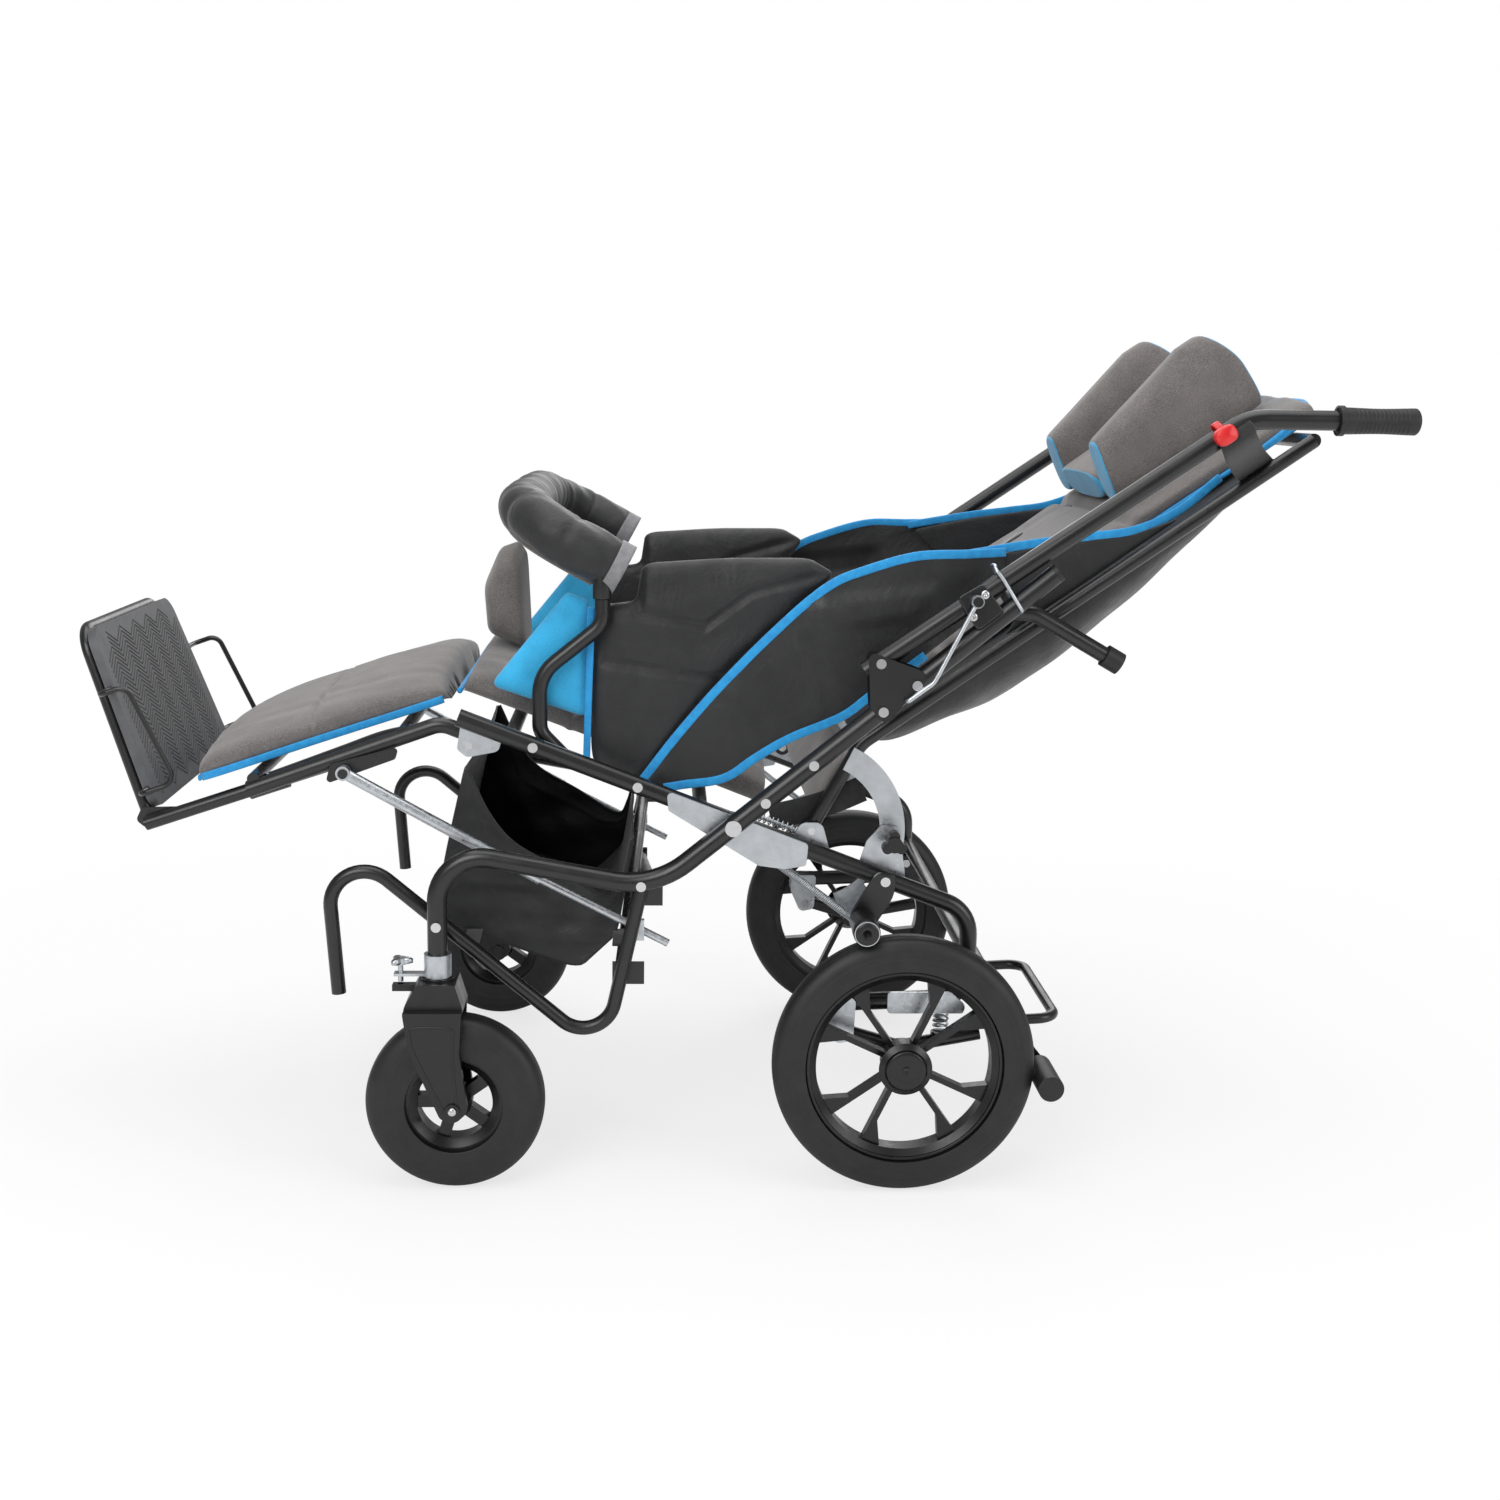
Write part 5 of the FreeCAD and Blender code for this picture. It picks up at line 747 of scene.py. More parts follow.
@dataclass
class SeatCloth:
    """The seat's pad, side panels, blue wedges, block between the knees and their trim."""

    start: float = -505.0
    stop: float = -165.0
    half: float = 205.0

    def build(self) -> None:
        """Makes the pad with its piping, then the pieces of each side, then the block."""
        base = FRAME.tube + 0.8
        pad = Pad("seat_cushion", FRAME.seat(self.start, base), FRAME.seat(self.stop, base), 43,
                  self.half - 1, seams=(0.35, 0.65), seed=11, waves=1.3)
        dress(pad.build(), GREY_MELANGE, "seat_frame", ["seat_pad"])
        ax, az = FRAME.seat(self.start - 3, FRAME.tube + 5)
        front = [(ax, y, az) for y in np.linspace(-self.half + 8, self.half - 8, 9)]
        trim("seat_front_piping", spline(front, 40), BLUE_CLOTH, "seat_frame", 3.2,
             ref=(0, 0, 1))
        for side in Side:
            self.panel(side)
            outline = [(-380, 666), (-356, 656), (-357, 524), (-466, 560)]
            wedge = Pillow(f"{side.word}_blue_wedge", outline, 226, 246, sharp=5, soft=0.1,
                           seed=31, rows=30, cols=96)
            dress(wedge.build(side.value), BLUE_VELOUR, "seat_frame")
        self.block()

    def panel(self, side: Side) -> None:
        """One padded side panel with the sewn lines of its arm support and a bound front."""
        outline = [(-298, 444), (-354, 470), (-350, 650), (-303, 656), (-297, 698),
                   (-200, 705), (-112, 706), (-84, 690), (-100, 667), (-145, 630), (-206, 568),
                   (-259, 504)]
        seams = (((-338, 590), (-180, 566)), ((-300, 644), (-226, 630)),
                 ((-226, 630), (-176, 668)), ((-176, 668), (-96, 690)),
                 ((-300, 644), (-300, 690)))
        shape = Pillow(f"{side.word}_arm_panel", outline, 216.6, 249.9, soft=0.2, seams=seams,
                       sharp=9, seed=21 + side.value, waves=1.5, span=75)
        dress(shape.build(side.value), BLACK_NYLON, "seat_frame", [f"{side.word}_side_panel"])
        front = lane([(-353, 650), (-354, 600), (-356, 540), (-358, 470)], side.value * 247.2)
        binding(f"{side.word}_front_binding", spline(front, 60), "seat_frame", 4)

    def block(self) -> None:
        """The block between the knees, taller towards the front."""
        foot = [FRAME.seat(x, FRAME.tube + 52.1) for x in (-456, -508)]
        outline = [*foot, (-491, 650), (-472, 694), (-450, 702), (-440, 686)]
        shape = Pillow("knee_block", outline, -64.4, 64.4, sharp=7, soft=0.2, waves=1.0,
                       seed=41)
        dress(shape.build(), GREY_MELANGE, "seat_frame", ["abduction_block"])


@dataclass
class BackCloth:
    """The back's pads, hanging pocket, wings, side cloths, piping and harness."""

    half: float = 205.0
    shell_half: float = 243.7
    recline: tuple[float, float] = (-105.0, 402.0)
    lumbar_angle: float = 60.6
    cloth: float = 1.6
    fold_from: tuple[float, float, float] = (0.098, 0, 0.55)
    fold_to: tuple[float, float, float] = (0.26, 0, 0.66)

    def build(self) -> None:
        """Makes every piece of the back."""
        self.pads()
        self.pocket()
        for side in Side:
            self.wing(side)
            self.side_cloth(side)
            self.harness(side)

    def pads(self) -> None:
        """The long back pad with its channels, the lumbar pad and the blue piping."""
        upper = Pad("back_cushion", FRAME.back_view(-3, 9.2), FRAME.back_view(633, 9.2), 26.5,
                    self.half - 1, seams=(0.22, 0.42, 0.62), seed=51, waves=1.2,
                    end_power=14, rows=220)
        dress(upper.build(), GREY_MELANGE, "backrest", ["back_pad"])
        low, high = (polar(polar(self.recline, self.lumbar_angle, reach),
                           self.lumbar_angle + 90, -5.6) for reach in (16, 94))
        lumbar = Pad("lumbar_cushion", low, high, 20, self.shell_half - 1, seed=52, crown=5,
                     rows=60, end_power=4)
        dress(lumbar.build(), GREY_MELANGE, "backrest")
        for side in Side:
            trim(f"{side.word}_back_piping", upper.edge(5, side.value, 0.3, 0.97), BLUE_CLOTH,
                 "backrest", 3.2)
        rise = np.array([(520, 14, -205), (580, 17, -205), (618, 22, -200), (633, 26, -178),
                         (635, 28, -120.0)])
        left = FRAME.back(*rise.T)
        top = np.vstack([left, left[-1] * (1, 0, 1), left[::-1] * (1, -1, 1)])
        trim("back_top_piping", spline(top, 140), BLUE_CLOTH, "backrest", 3.4,
             ref=(0.3, 0, 1))

    def pocket(self) -> None:
        """The cloth pocket that hangs behind the back.

        u runs along the back and v round the section: the section reaches from just behind the
        tubes down to the hanging line, which sags most in the middle of the width.
        """
        hang = np.array([(2, 14), (30, 42), (90, 62), (160, 78), (240, 80), (330, 68),
                         (430, 48), (520, 24), (556, 8.0)])
        rows, line = 110, spline(hang, 400)
        at = np.interp(np.linspace(0, 1, rows), np.linspace(0, 1, len(hang)), hang[:, 0])
        down = np.interp(at, line[:, 0], line[:, 1])[:, None]
        v = np.linspace(0, TAU, 96, endpoint=False)
        y = power(np.cos(v), 0.5)[None] * (self.shell_half - 1.2) * np.ones((rows, 1))
        low = np.clip(-power(np.sin(v), 0.6), 0, 1)[None]
        sag = 1 - 0.22 * (np.abs(y) / self.shell_half) ** 3
        wave = ripple(np.stack([at[:, None] + 0 * y, y, 0 * y], -1), 2.2, 110, 61)
        points = FRAME.back(at[:, None], 5.4 + low * (wave - down * sag), y)
        obj = Maker.grid("back_pocket", points, wrap_v=True, caps=True)
        dress(obj, BLACK_NYLON, "backrest", ["back_shell"])

    def wing(self, side: Side) -> None:
        """The cloth wing beside the back, with piping along its upper edge."""
        inside = [FRAME.back_view(along, off) for along, off in ((436, 9), (320, 8), (200, 8))]
        outline = [(66, 706), (150, 724), (251, 738), *inside, (120, 640), (100, 670)]
        shape = Pillow(f"{side.word}_wing", outline, 236.2, 243.4, sharp=12, soft=0.15,
                       waves=0.5, seed=71, rows=30)
        dress(shape.build(side.value), BLACK_NYLON, "backrest")
        line = lane([(60, 712), (141, 726), (200, 734), (251, 742), (300, 763), (351, 800)],
                    side.value * np.array([240, 240, 240, 240, 232, 214]))
        binding(f"{side.word}_wing_piping", spline(line, 90), "backrest")

    def side_cloth(self, side: Side) -> None:
        """The flat cloth between a side panel and the back.

        It is ruled between a lower and an upper line, u along them and v from one to the other.
        It bulges outwards a little and carries a padded roll near its upper edge and a sewn
        line. Between x = 20 and x = 100 it goes over from the seat to the back.
        """
        lower = spline([(-298, 444), (-250, 452), (-205, 461), (-171, 484), (-131, 508),
                        (-75, 532), (-38, 560), (30, 612), (104, 668)], 70)
        upper = spline([(-300, 450), (-259, 505), (-206, 569), (-145, 632), (-93, 677),
                        (-51, 696), (5, 712), (60, 714), (106, 716)], 70)
        v = np.linspace(0, 1, 40)[None, :, None]
        flat = lower[:, None] * (1 - v) + upper[:, None] * v
        x, z = flat[..., 0], flat[..., 1]
        share = np.clip((x - 20) / 80, 0, 1)
        place = 254.2 + 10.4 * np.clip((x + 250) / 60, 0, 1) * (1 - share) - 8.5 * share
        bulge = 2.2 * np.sin(math.pi * v[..., 0]) * (1 - share)
        bolster = (5.5 * bell(z - 652 - 0.12 * (x + 60), 17, 4)
                   * np.clip((x + 118) / 16, 0, 1) * np.clip((28 - x) / 14, 0, 1))
        seam = -1.8 * bell(x + 92 + 0.22 * (z - 560), 3.5)
        outer = np.stack([x, side.value * (place + bulge + bolster + seam), z], -1)
        outer[..., 1] += side.value * ripple(outer, 1.3, 80, 81)
        inner = outer - side.value * self.cloth * Y_AXIS
        both = np.concatenate([outer, inner[:, ::-1]], 1)
        pieces = [dress(Maker.grid(f"{side.word}_side_cloth", both, wrap_v=True), BLACK_NYLON,
                        None)]
        for part, line in (("lower", outer[4:54, 0]), ("upper", outer[:, -1])):
            pieces.append(binding(f"{side.word}_{part}_binding", line, None))
        for piece in pieces:
            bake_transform(piece)

    def harness(self, side: Side) -> None:
        """A chest strap of webbing with its buckle, lying on the back pad."""
        y = side.value * 70.0
        line = np.array([(385, 38, y), (350, 38.5, 1.02 * y), (300, 39, 1.1 * y),
                         (250, 38.5, 1.35 * y), (215, 38, 1.7 * y)])
        strap(f"{side.word}_harness_strap", FRAME.back(*line.T), "backrest", 12.5, 1.0)
        path = FRAME.back(292 + np.linspace(-24, 24, 14), 40.5, y * 1.12)
        wide = np.array([9, 13, 15, 16, 16, 15.5, 15, 15, 15.5, 16, 16, 15, 13, 9.0])
        trim(f"{side.word}_harness_buckle", path, MOULDED, "backrest", wide, wide * 0.28, 20,
             (0, 1, 0), 0.45)


@dataclass
class HeadSupport:
    """The U-shaped head support: a middle pad and two thick wings with blue ends."""

    base: float = 42.6
    start: float = 401.0
    length: float = 204.0
    inner: float = 94.0
    outer: float = 154.0

    def build(self) -> None:
        """Makes the middle and the wings."""
        middle = self.roll("head_middle", 0, self.inner + 5, 1, (43, 45), (0, 0), 91)
        dress(middle, GREY_MELANGE, "head_support", ["headrest"])
        self.blue_ends(middle)
        for side in Side:
            wing = self.roll(f"{side.word}_head_wing",
                             side.value * (self.inner + self.outer) / 2,
                             (self.outer - self.inner) / 2 - 0.6, 2, (77, 111), (14, 21), 95)
            dress(wing, GREY_MELANGE, "head_support")
            self.blue_ends(wing)

    def roll(self, name: str, middle: float, half: float, low: float,
             tall: tuple[float, float], lean: tuple[float, float], seed: int) -> Object:
        """A block along the back with a rounded section, a leaning end and a rounded one.

        u runs along the back and v round the section, whose height grows with u. The lower end
        leans back by lean[0] at the top and the upper one forward by lean[1]; both shrink by
        (1 - |2u - 1|^30)^(1/2.4), which rounds their rims.

        Args:
            name: the piece's name.
            middle: y of its middle.
            half: half its width.
            low: how far its back lies over the base.
            tall: its height at both ends.
            lean: how much the ends lean.
            seed: which waves.

        Returns:
            The new object.
        """
        u = 0.5 - 0.5 * power(np.cos(math.pi * np.linspace(0, 1, 90)), 0.8)[:, None]
        v = np.linspace(0, TAU, 96, endpoint=False)[None]
        end = 0.84 + 0.16 * (1 - np.abs(2 * u - 1) ** 30) ** (1 / 2.4)
        high = tall[0] + (tall[1] - tall[0]) * np.clip(u / 0.82, 0, 1)
        y = middle + half * end * power(np.cos(v), 0.62)
        share = 0.5 + 0.5 * end * power(np.sin(v), 0.66)
        off = low + (high - low) * share
        start = lean[0] * share**1.2
        stop = self.length - lean[1] * np.clip((share - 0.5) / 0.5, 0, 1) ** 1.6
        along = start + (stop - start) * u
        off = off + ripple(np.stack([along, y, off], -1), 0.9, 70, seed) * np.sin(math.pi * u)
        return Maker.grid(name, FRAME.back(self.start + along, self.base + off, y),
                          wrap_v=True, caps=True)

    @staticmethod
    def blue_ends(obj: Object) -> None:
        """Gives the faces that look along the back, at both ends, the blue cloth."""
        faces = obj.data.polygons
        obj.data.materials.append(BLUE_VELOUR.material())
        normal = np.zeros(len(faces) * 3)
        faces.foreach_get("normal", normal)
        along = normal.reshape(-1, 3) @ ray(FRAME.back_slope)
        faces.foreach_set("material_index", (np.abs(along) > 0.62).astype(np.int32))


@dataclass
class LegCloth:
    """The calf pad, its piping, and the webbing under it."""

    half: float = 211.0

    def build(self) -> None:
        """Makes the pad and its trim."""
        pad = Pad("calf_cushion", (-795.0, 440.2), (-515.0, 534.6), 36.0, self.half - 1,
                  seams=(0.48,), groove=0.14, seed=101, waves=1.4, end_power=4, crown=11)
        dress(pad.build(), GREY_MELANGE, "leg_rest", ["calf_pad"])
        for side in Side:
            binding(f"{side.word}_calf_piping", pad.edge(6, side.value, 0.01, 0.985),
                    "leg_rest", 4.4)
            belt = [(-548, 505), (-585, 497), (-630, 480), (-680, 461), (-712, 449)]
            strap(f"{side.word}_calf_webbing", lane(belt, side.value * 226.0), "leg_rest", 3.0,
                  9.0)
        front = [(-797, y, 446) for y in np.linspace(-204, 204, 9)]
        trim("calf_front_piping", spline(front, 50), BLUE_CLOTH, "leg_rest", 4.0, 2.2, 12,
             (0, 0, 1))


@dataclass
class FootTread:
    """The herringbone ribs on the footplate's face, which narrows from its hinge upwards.

    Columns of short ribs lean to one side and the other in turn, and leave out the rim and the
    rounded corners. A rib is a box whose top is drawn in.
    """

    hinge: tuple[float, float] = (-862.0, 397.0)
    tilt: float = 109.5
    face_off: float = 17.3
    length: float = 215.0
    low_half: float = 191.0
    high_half: float = 169.0
    columns: int = 13
    pitch: float = 6.2
    lean: float = 28.0

    def build(self) -> None:
        """Makes the ribs: one rib's eight points moved to every place on the board."""
        step = 2 * (self.low_half - 4) / self.columns
        place = self.places(step)
        box = np.array([(sx, sy, sz) for sz in (0, 1) for sx, sy in
                        ((-1, -1), (1, -1), (1, 1), (-1, 1))], float)
        rib = box * np.array([step * 0.57, 1.0, 0.8])
        rib[4:, :2] *= np.array([0.95, 0.55])
        a = np.radians(place[:, 2:])
        across = rib[:, 0] * np.cos(a) - rib[:, 1] * np.sin(a)
        upward = rib[:, 0] * np.sin(a) + rib[:, 1] * np.cos(a)
        points = (np.array([self.hinge[0], 0, self.hinge[1]])
                  + (6 + place[:, :1] + upward)[..., None] * ray(self.tilt)
                  + (place[:, 1:2] + across)[..., None] * Y_AXIS
                  + (self.face_off - 0.2 + rib[:, 2:]) * ray(self.tilt - 90))
        quads = np.array([(0, 1, 5, 4), (1, 2, 6, 5), (2, 3, 7, 6), (3, 0, 4, 7),
                          (4, 5, 6, 7), (3, 2, 1, 0)])
        faces = (quads[None] + 8 * np.arange(len(place))[:, None, None]).reshape(-1, 4)
        obj = Maker.mesh("foot_tread", points.reshape(-1, 3), faces.tolist())
        Maker.shade(obj.data, False)
        dress(obj, STROKE_RUBBER, "footplate")

    def places(self, step: float) -> Array:
        """The way up the board, the y and the lean of every rib."""
        found = []
        for column in range(self.columns):
            y = -self.low_half + 4 + step * (column + 0.5)
            for up in np.arange(18, self.length - 14, self.pitch):
                half = self.low_half - (self.low_half - self.high_half) * up / self.length
                rim = 14 if up > self.length - 34 or up < 30 else 3
                if abs(y) + step / 2 < half - rim:
                    found.append((up, y, self.lean if column % 2 else -self.lean))
        return np.array(found)


@dataclass
class GrabBar:
    """The padded bar across the lap: a stuffed sleeve pinched at its seams, and its feet."""

    end: tuple[float, float] = (-318.0, 690.0)
    front: tuple[float, float] = (-432.0, 752.0)
    half: float = 245.0
    radius: float = 30.0
    pinches: tuple[float, ...] = (0.1, 0.2, 0.28, 0.5, 0.72, 0.8, 0.9)
    pinch_depth: float = 0.045
    pinch_width: float = 0.006
    waves: float = 1.9
    span: float = 46.0
    body: str = "grab_bar_body"

    def build(self) -> None:
        """Makes the sleeve, its grey seam, the hem rings and the two feet."""
        (ex, ez), (fx, fz), w = self.end, self.front, self.half
        left = np.array([(ex, -w, ez), (ex + 0.55 * (fx - ex), -w, ez + 0.55 * (fz - ez)),
                         (fx + 18, -w + 28, fz - 10), (fx + 1, -w + 76, fz),
                         (fx, -w + 130, fz)])
        path = spline(np.vstack([left, (fx, 0, fz), left[::-1] * (1, -1, 1)]), 260)
        self.sleeve(path)
        seam = path + np.array([-0.55, 0, -0.83]) * (self.radius - 0.5)
        trim("bar_seam", seam[8:-8], GREY_MELANGE, self.body, 2.2, None, 8, BAR_REF)
        for side, part in ((Side.LEFT, path[:7]), (Side.RIGHT, path[:-8:-1])):
            part = np.vstack([part[:1] + 0.4 * (part[:1] - part[1:2]), part[1:]])
            trim(f"{side.word}_bar_hem", part, GREY_TAPE, self.body, self.radius + 0.5, None,
                 40, BAR_REF)
        ring = [(660.4, 5.2), (660.4, 10.2), (662, 10.8), (684, 10.8), (690, 9.6), (690, 5.2)]
        for side in Side:
            dress(Maker.turned(f"{side.word}_bar_foot", ring, (-340, side.value * 259, 0), "z",
                               40), MOULDED, self.body)

    def sleeve(self, path: Array) -> None:
        """The sleeve: it is drawn in at each pinch and waves along its normals."""
        u = np.linspace(0, 1, len(path))
        cap = np.clip((1 - np.abs(2 * u - 1) ** 60) ** 0.5, 0.02, 1)
        pinch = sum(bell(u - at, self.pinch_width) for at in self.pinches)
        radius = self.radius * cap * (1 - self.pinch_depth * pinch)
        obj = Maker.sweep("bar_sleeve", path, radius, None, 48, BAR_REF)
        verts = obj.data.vertices
        co, normal = np.zeros((2, len(verts) * 3))
        verts.foreach_get("co", co)
        verts.foreach_get("normal", normal)
        wave = ripple(co.reshape(-1, 3) * 1000, self.waves, self.span, 111) - 0.6
        verts.foreach_set("co", co + normal * np.repeat(wave, 3) / 1000)
        dress(obj, BLACK_NYLON, self.body, ["grab_bar"])


@dataclass
class Basket:
    """The cloth basket: one sheet down the front, along the floor and up the rear, two sides."""

    half: float = 222.0
    sag_out: float = 3.5
    sag_down: float = 2.5
    cloth_m: float = 0.0022
    merge_m: float = 8e-4
    rows: int = 90

    def build(self) -> None:
        """Makes the bag, its hem and its tabs.

        The sheet is ruled across the width from a line in the side view, and each side wall is
        ruled from that line up to its rim. All of them sag away from the hung edges.
        """
        rim = spline([(-494, 461), (-470, 410), (-441, 375), (-390, 345), (-335, 312),
                      (-318, 330), (-306.5, 380)], self.rows)
        sheet = self.sheet()
        parts = [Maker.grid("bag_sheet", sheet, recalc=False)]
        parts += [Maker.grid("bag_wall", self.wall(sheet, rim, side), recalc=False)
                  for side in Side]
        obj = Maker.joined("basket_bag", parts)
        Maker.mend(obj.data, self.merge_m)
        Maker.shade(obj.data, True)
        wall = obj.modifiers.new("wall", "SOLIDIFY")
        wall.thickness, wall.offset = self.cloth_m, 0
        dress(obj, BLACK_NYLON, "main_frame", ["basket"])
        for side in Side:
            s = side.value
            trim(f"{side.word}_basket_hem", lane(rim, s * self.half), BLACK_WEBBING,
                 "main_frame", 2.4, None, 8)
            for label, x, z in (("front", -486, 273), ("rear", -319, 271.5)):
                tab = [(x, s * 214, z), (x, s * 235, z + 1), (x, s * 256, z),
                       (x, s * 274, z - 1)]
                strap(f"{side.word}_{label}_tab", tab, "main_frame", 9, 1.1, (1, 0, 0), 20)

    def sheet(self) -> Array:
        """The grid of the sheet, which sags in the middle of its width."""
        line = rounded([(-497, 461), (-519, 360), (-534, 288), (-368, 227), (-324, 269),
                        (-305, 381)], self.rows, 0.16, False)
        y = np.linspace(-1, 1, 70)
        sheet = np.stack(np.broadcast_arrays(line[:, :1], y * self.half, line[:, 1:]), -1)
        inward = (1 - np.abs(y) ** 3)[None]
        angle = np.linspace(0, math.pi, self.rows)[:, None]
        sheet[..., 0] += self.sag_out * inward * np.cos(angle)
        sheet[..., 2] -= self.sag_down * inward * np.sin(angle)
        return sheet + ripple(sheet, 1.1, 120, 121)[..., None] * np.array([0.6, 0, 0.6])

    def wall(self, sheet: Array, rim: Array, side: Side) -> Array:
        """The grid of one side wall: slack between the sheet's edge and the rim."""
        v = np.linspace(0, 1, 40)[None, :, None]
        edge = sheet[:, 0 if side is Side.LEFT else -1][:, [0, 2]]
        flat = np.insert(edge[:, None] * (1 - v) + rim[:, None] * v, 1, 0, axis=2)
        slack = np.sin(math.pi * v[..., 0]) * np.sin(np.linspace(0, math.pi, self.rows))[:, None]
        bow = slack * (4 + ripple(flat, 3.2, 55, 127 + side.value))
        seam = 2.0 * bell(v[..., 0] - 0.8, 0.03) * slack
        flat[..., 1] = side.value * (self.half - bow - seam)
        return flat


@dataclass
class Wheels:
    """Tyres, hub domes and rim rings of the four wheels; a centre is x, |y| and z."""

    front: tuple[float, float, float] = (-502.0, 304.0, 100.0)
    rear: tuple[float, float, float] = (0.0, 317.0, 148.0)

    def build(self) -> None:
        """Makes both kinds of tyre and the domes and rings of the rear wheels."""
        dome = [(30.0, 0.3), (31.2, 8), (31.0, 14), (31.8, 17), (31.2, 21), (29, 24),
                (30.1, 21), (30.1, 0.3)]
        bead = [(17.1, 106), (18.6, 107), (18.6, 110.5), (17.1, 111.4)]
        for side in Side:
            self.tyre(side, "front", self.front, 56, 100, 25, (0.0,), 0.9)
            self.tyre(side, "rear", self.rear, 112, 148, 22, (-0.5, -0.25, 0, 0.25, 0.5), 0.7)
            for name, profile, steps in (("hub_dome", dome, 64), ("rim_bead", bead, 120)):
                obj = Maker.turned(f"{side.word}_{name}", profile, self.rear * np.array(
                    [1, side.value, 1]), "y", steps, side.value)
                dress(obj, WHEEL_PLASTIC, f"{side.word}_rear_roller")

    def tyre(self, side: Side, kind: str, at: tuple[float, float, float], seat: float,
             crown: float, half: float, grooves: tuple[float, ...], depth: float) -> None:
        """A tyre turned about its axle: a superellipse section with rings and fine grooves.

        Args:
            side: which side it is on.
            kind: front or rear, as the nodes spell it.
            at: its centre, with y taken outwards.
            seat: radius of its seat on the rim.
            crown: outer radius.
            half: half its width.
            grooves: places of the tread grooves, as shares of the half width.
            depth: depth of a groove.
        """
        t = np.linspace(-0.16, math.pi + 0.16, 90)
        tall = crown - seat - 4
        y = half * power(np.cos(t), 0.62)
        r = seat + 4 + tall * np.clip(power(np.sin(t), 0.7), -0.14, 1)
        for place in grooves:
            r = r - depth * bell(y / half - place, 0.035) * (r > crown - 9)
        rings = bell(r - seat - 0.38 * tall, 1.3) + bell(r - seat - 0.62 * tall, 1.1)
        y = np.clip(y * (1 - 0.022 * rings), -half, half)
        loop = np.vstack([np.stack([y, np.minimum(r, crown)], 1), (-half * 0.74, seat + 0.1),
                          (half * 0.74, seat + 0.1)])
        obj = Maker.turned(f"{side.word}_{kind}_tyre_cover", loop,
                           (at[0], side.value * at[1], at[2]), "y", 144)
        dress(obj, TYRE_RUBBER, f"{side.word}_{kind}_roller", [f"{side.word}_{kind}_tyre"])


@dataclass
class HandleTrim:
    """Ridged grips, the elastic strap, the small red light and the wire keepers."""

    grip_x: float = 448.0
    grip_z: float = 866.0
    lane: float = 304.0
    grip_length: float = 90.0
    grip_radius: float = 14.0
    collar: float = 16.3
    ring_pitch: float = 4.6
    band: float = 12.6
    band_angle: float = 36.0

    def build(self) -> None:
        """Makes the trim of both handles, then the light and the strap of the left one."""
        for side in Side:
            self.grip(side)
            self.keeper(side)
        self.light()
        elastic = [(330, -309, 856), (336, -318, 848), (344, -308, 836), (366, -266, 820),
                   (390, -230, 806), (397, -219, 796)]
        strap("handle_elastic", elastic, "left_push_handle", 21, 1.2, (0.82, 0, 0.57))

    def grip(self, side: Side) -> None:
        """A grip turned about its tube: a collar, ring grooves and a swollen end."""
        x = np.linspace(0, self.grip_length, 220)
        rings = np.abs(np.sin(x * math.pi / self.ring_pitch)) < 0.28
        rings = 0.55 * rings * ((x > 16) & (x < 78))
        swell = 0.5 * np.cos(x / self.grip_length * TAU)
        r = np.where(x < 6, self.collar, self.grip_radius + swell - rings)
        r = np.where(x > 84, 14.5 * np.sqrt(np.clip(1 - ((x - 84) / 6.4) ** 2, 0, 1)), r)
        loop = np.vstack([np.stack([x + 0.05, np.clip(r, 0.5, self.collar)], 1), (82.0, 0.4),
                          (80, 10.8), (0.2, 10.8)])
        obj = Maker.turned(f"{side.word}_ridged_grip", loop,
                           (self.grip_x, side.value * self.lane, self.grip_z), "x", 56)
        dress(obj, SOFT_RUBBER, f"{side.word}_push_handle", [f"{side.word}_grip"])

    def keeper(self, side: Side) -> None:
        """The bent wire that keeps the push tube on the side tube, and its saddle plate."""
        loop = np.array([(83, 316.6, 703), (90, 319.4, 694), (107, 319.4, 668),
                         (113, 316.6, 659), (112, 304, 657), (113, 291.2, 660), (107, 289, 668),
                         (90, 289, 694), (83, 291.2, 704), (84, 304, 706)])
        trim(f"{side.word}_keeper_wire", spline(loop * (1, side.value, 1), 90, True),
             ZINC_PLATE, "main_frame", 2.2, ref=(0.55, 0.1, 0.83), closed=True)
        plate(f"{side.word}_saddle_plate", [(42, 672), (70, 688), (94, 658), (66, 636)],
              (315.2, 318.0), 0.16, side, "main_frame")
        head = [(318.0, 0.2), (320.6, 0.2), (321.4, 2.4), (320.8, 4.6), (318.0, 5.2)]
        for k, (x, z) in enumerate(((72, 676), (60, 652))):
            dress(Maker.turned(f"{side.word}_saddle_screw_{k}", head, (x, 0, z), "y", 24,
                               side.value), BRIGHT_BOLT, "main_frame")

    def light(self) -> None:
        """The small clip-on light: a lens body and its soft band round the push tube."""
        path = np.array([(322, -y, 849.0) for y in np.linspace(313, 330, 16)])
        size = 12 * (1 - np.abs(np.linspace(-1, 1, 16)) ** 6) ** 0.5 + 0.3
        trim("light_body", path, LAMP_RED, "left_push_handle", size, size * 0.8, 28,
             (0.83, 0, 0.55), 0.7)
        t = np.linspace(0, TAU, 60, endpoint=False)[:, None]
        round_tube = np.cos(t) * Y_AXIS + np.sin(t) * ray(self.band_angle + 90)
        ring = np.array([322, -self.lane, 850.5]) + self.band * round_tube
        trim("light_band", ring, LAMP_RED, "left_push_handle", 4.2, 1.4, 14,
             ray(self.band_angle), 0.5, True)


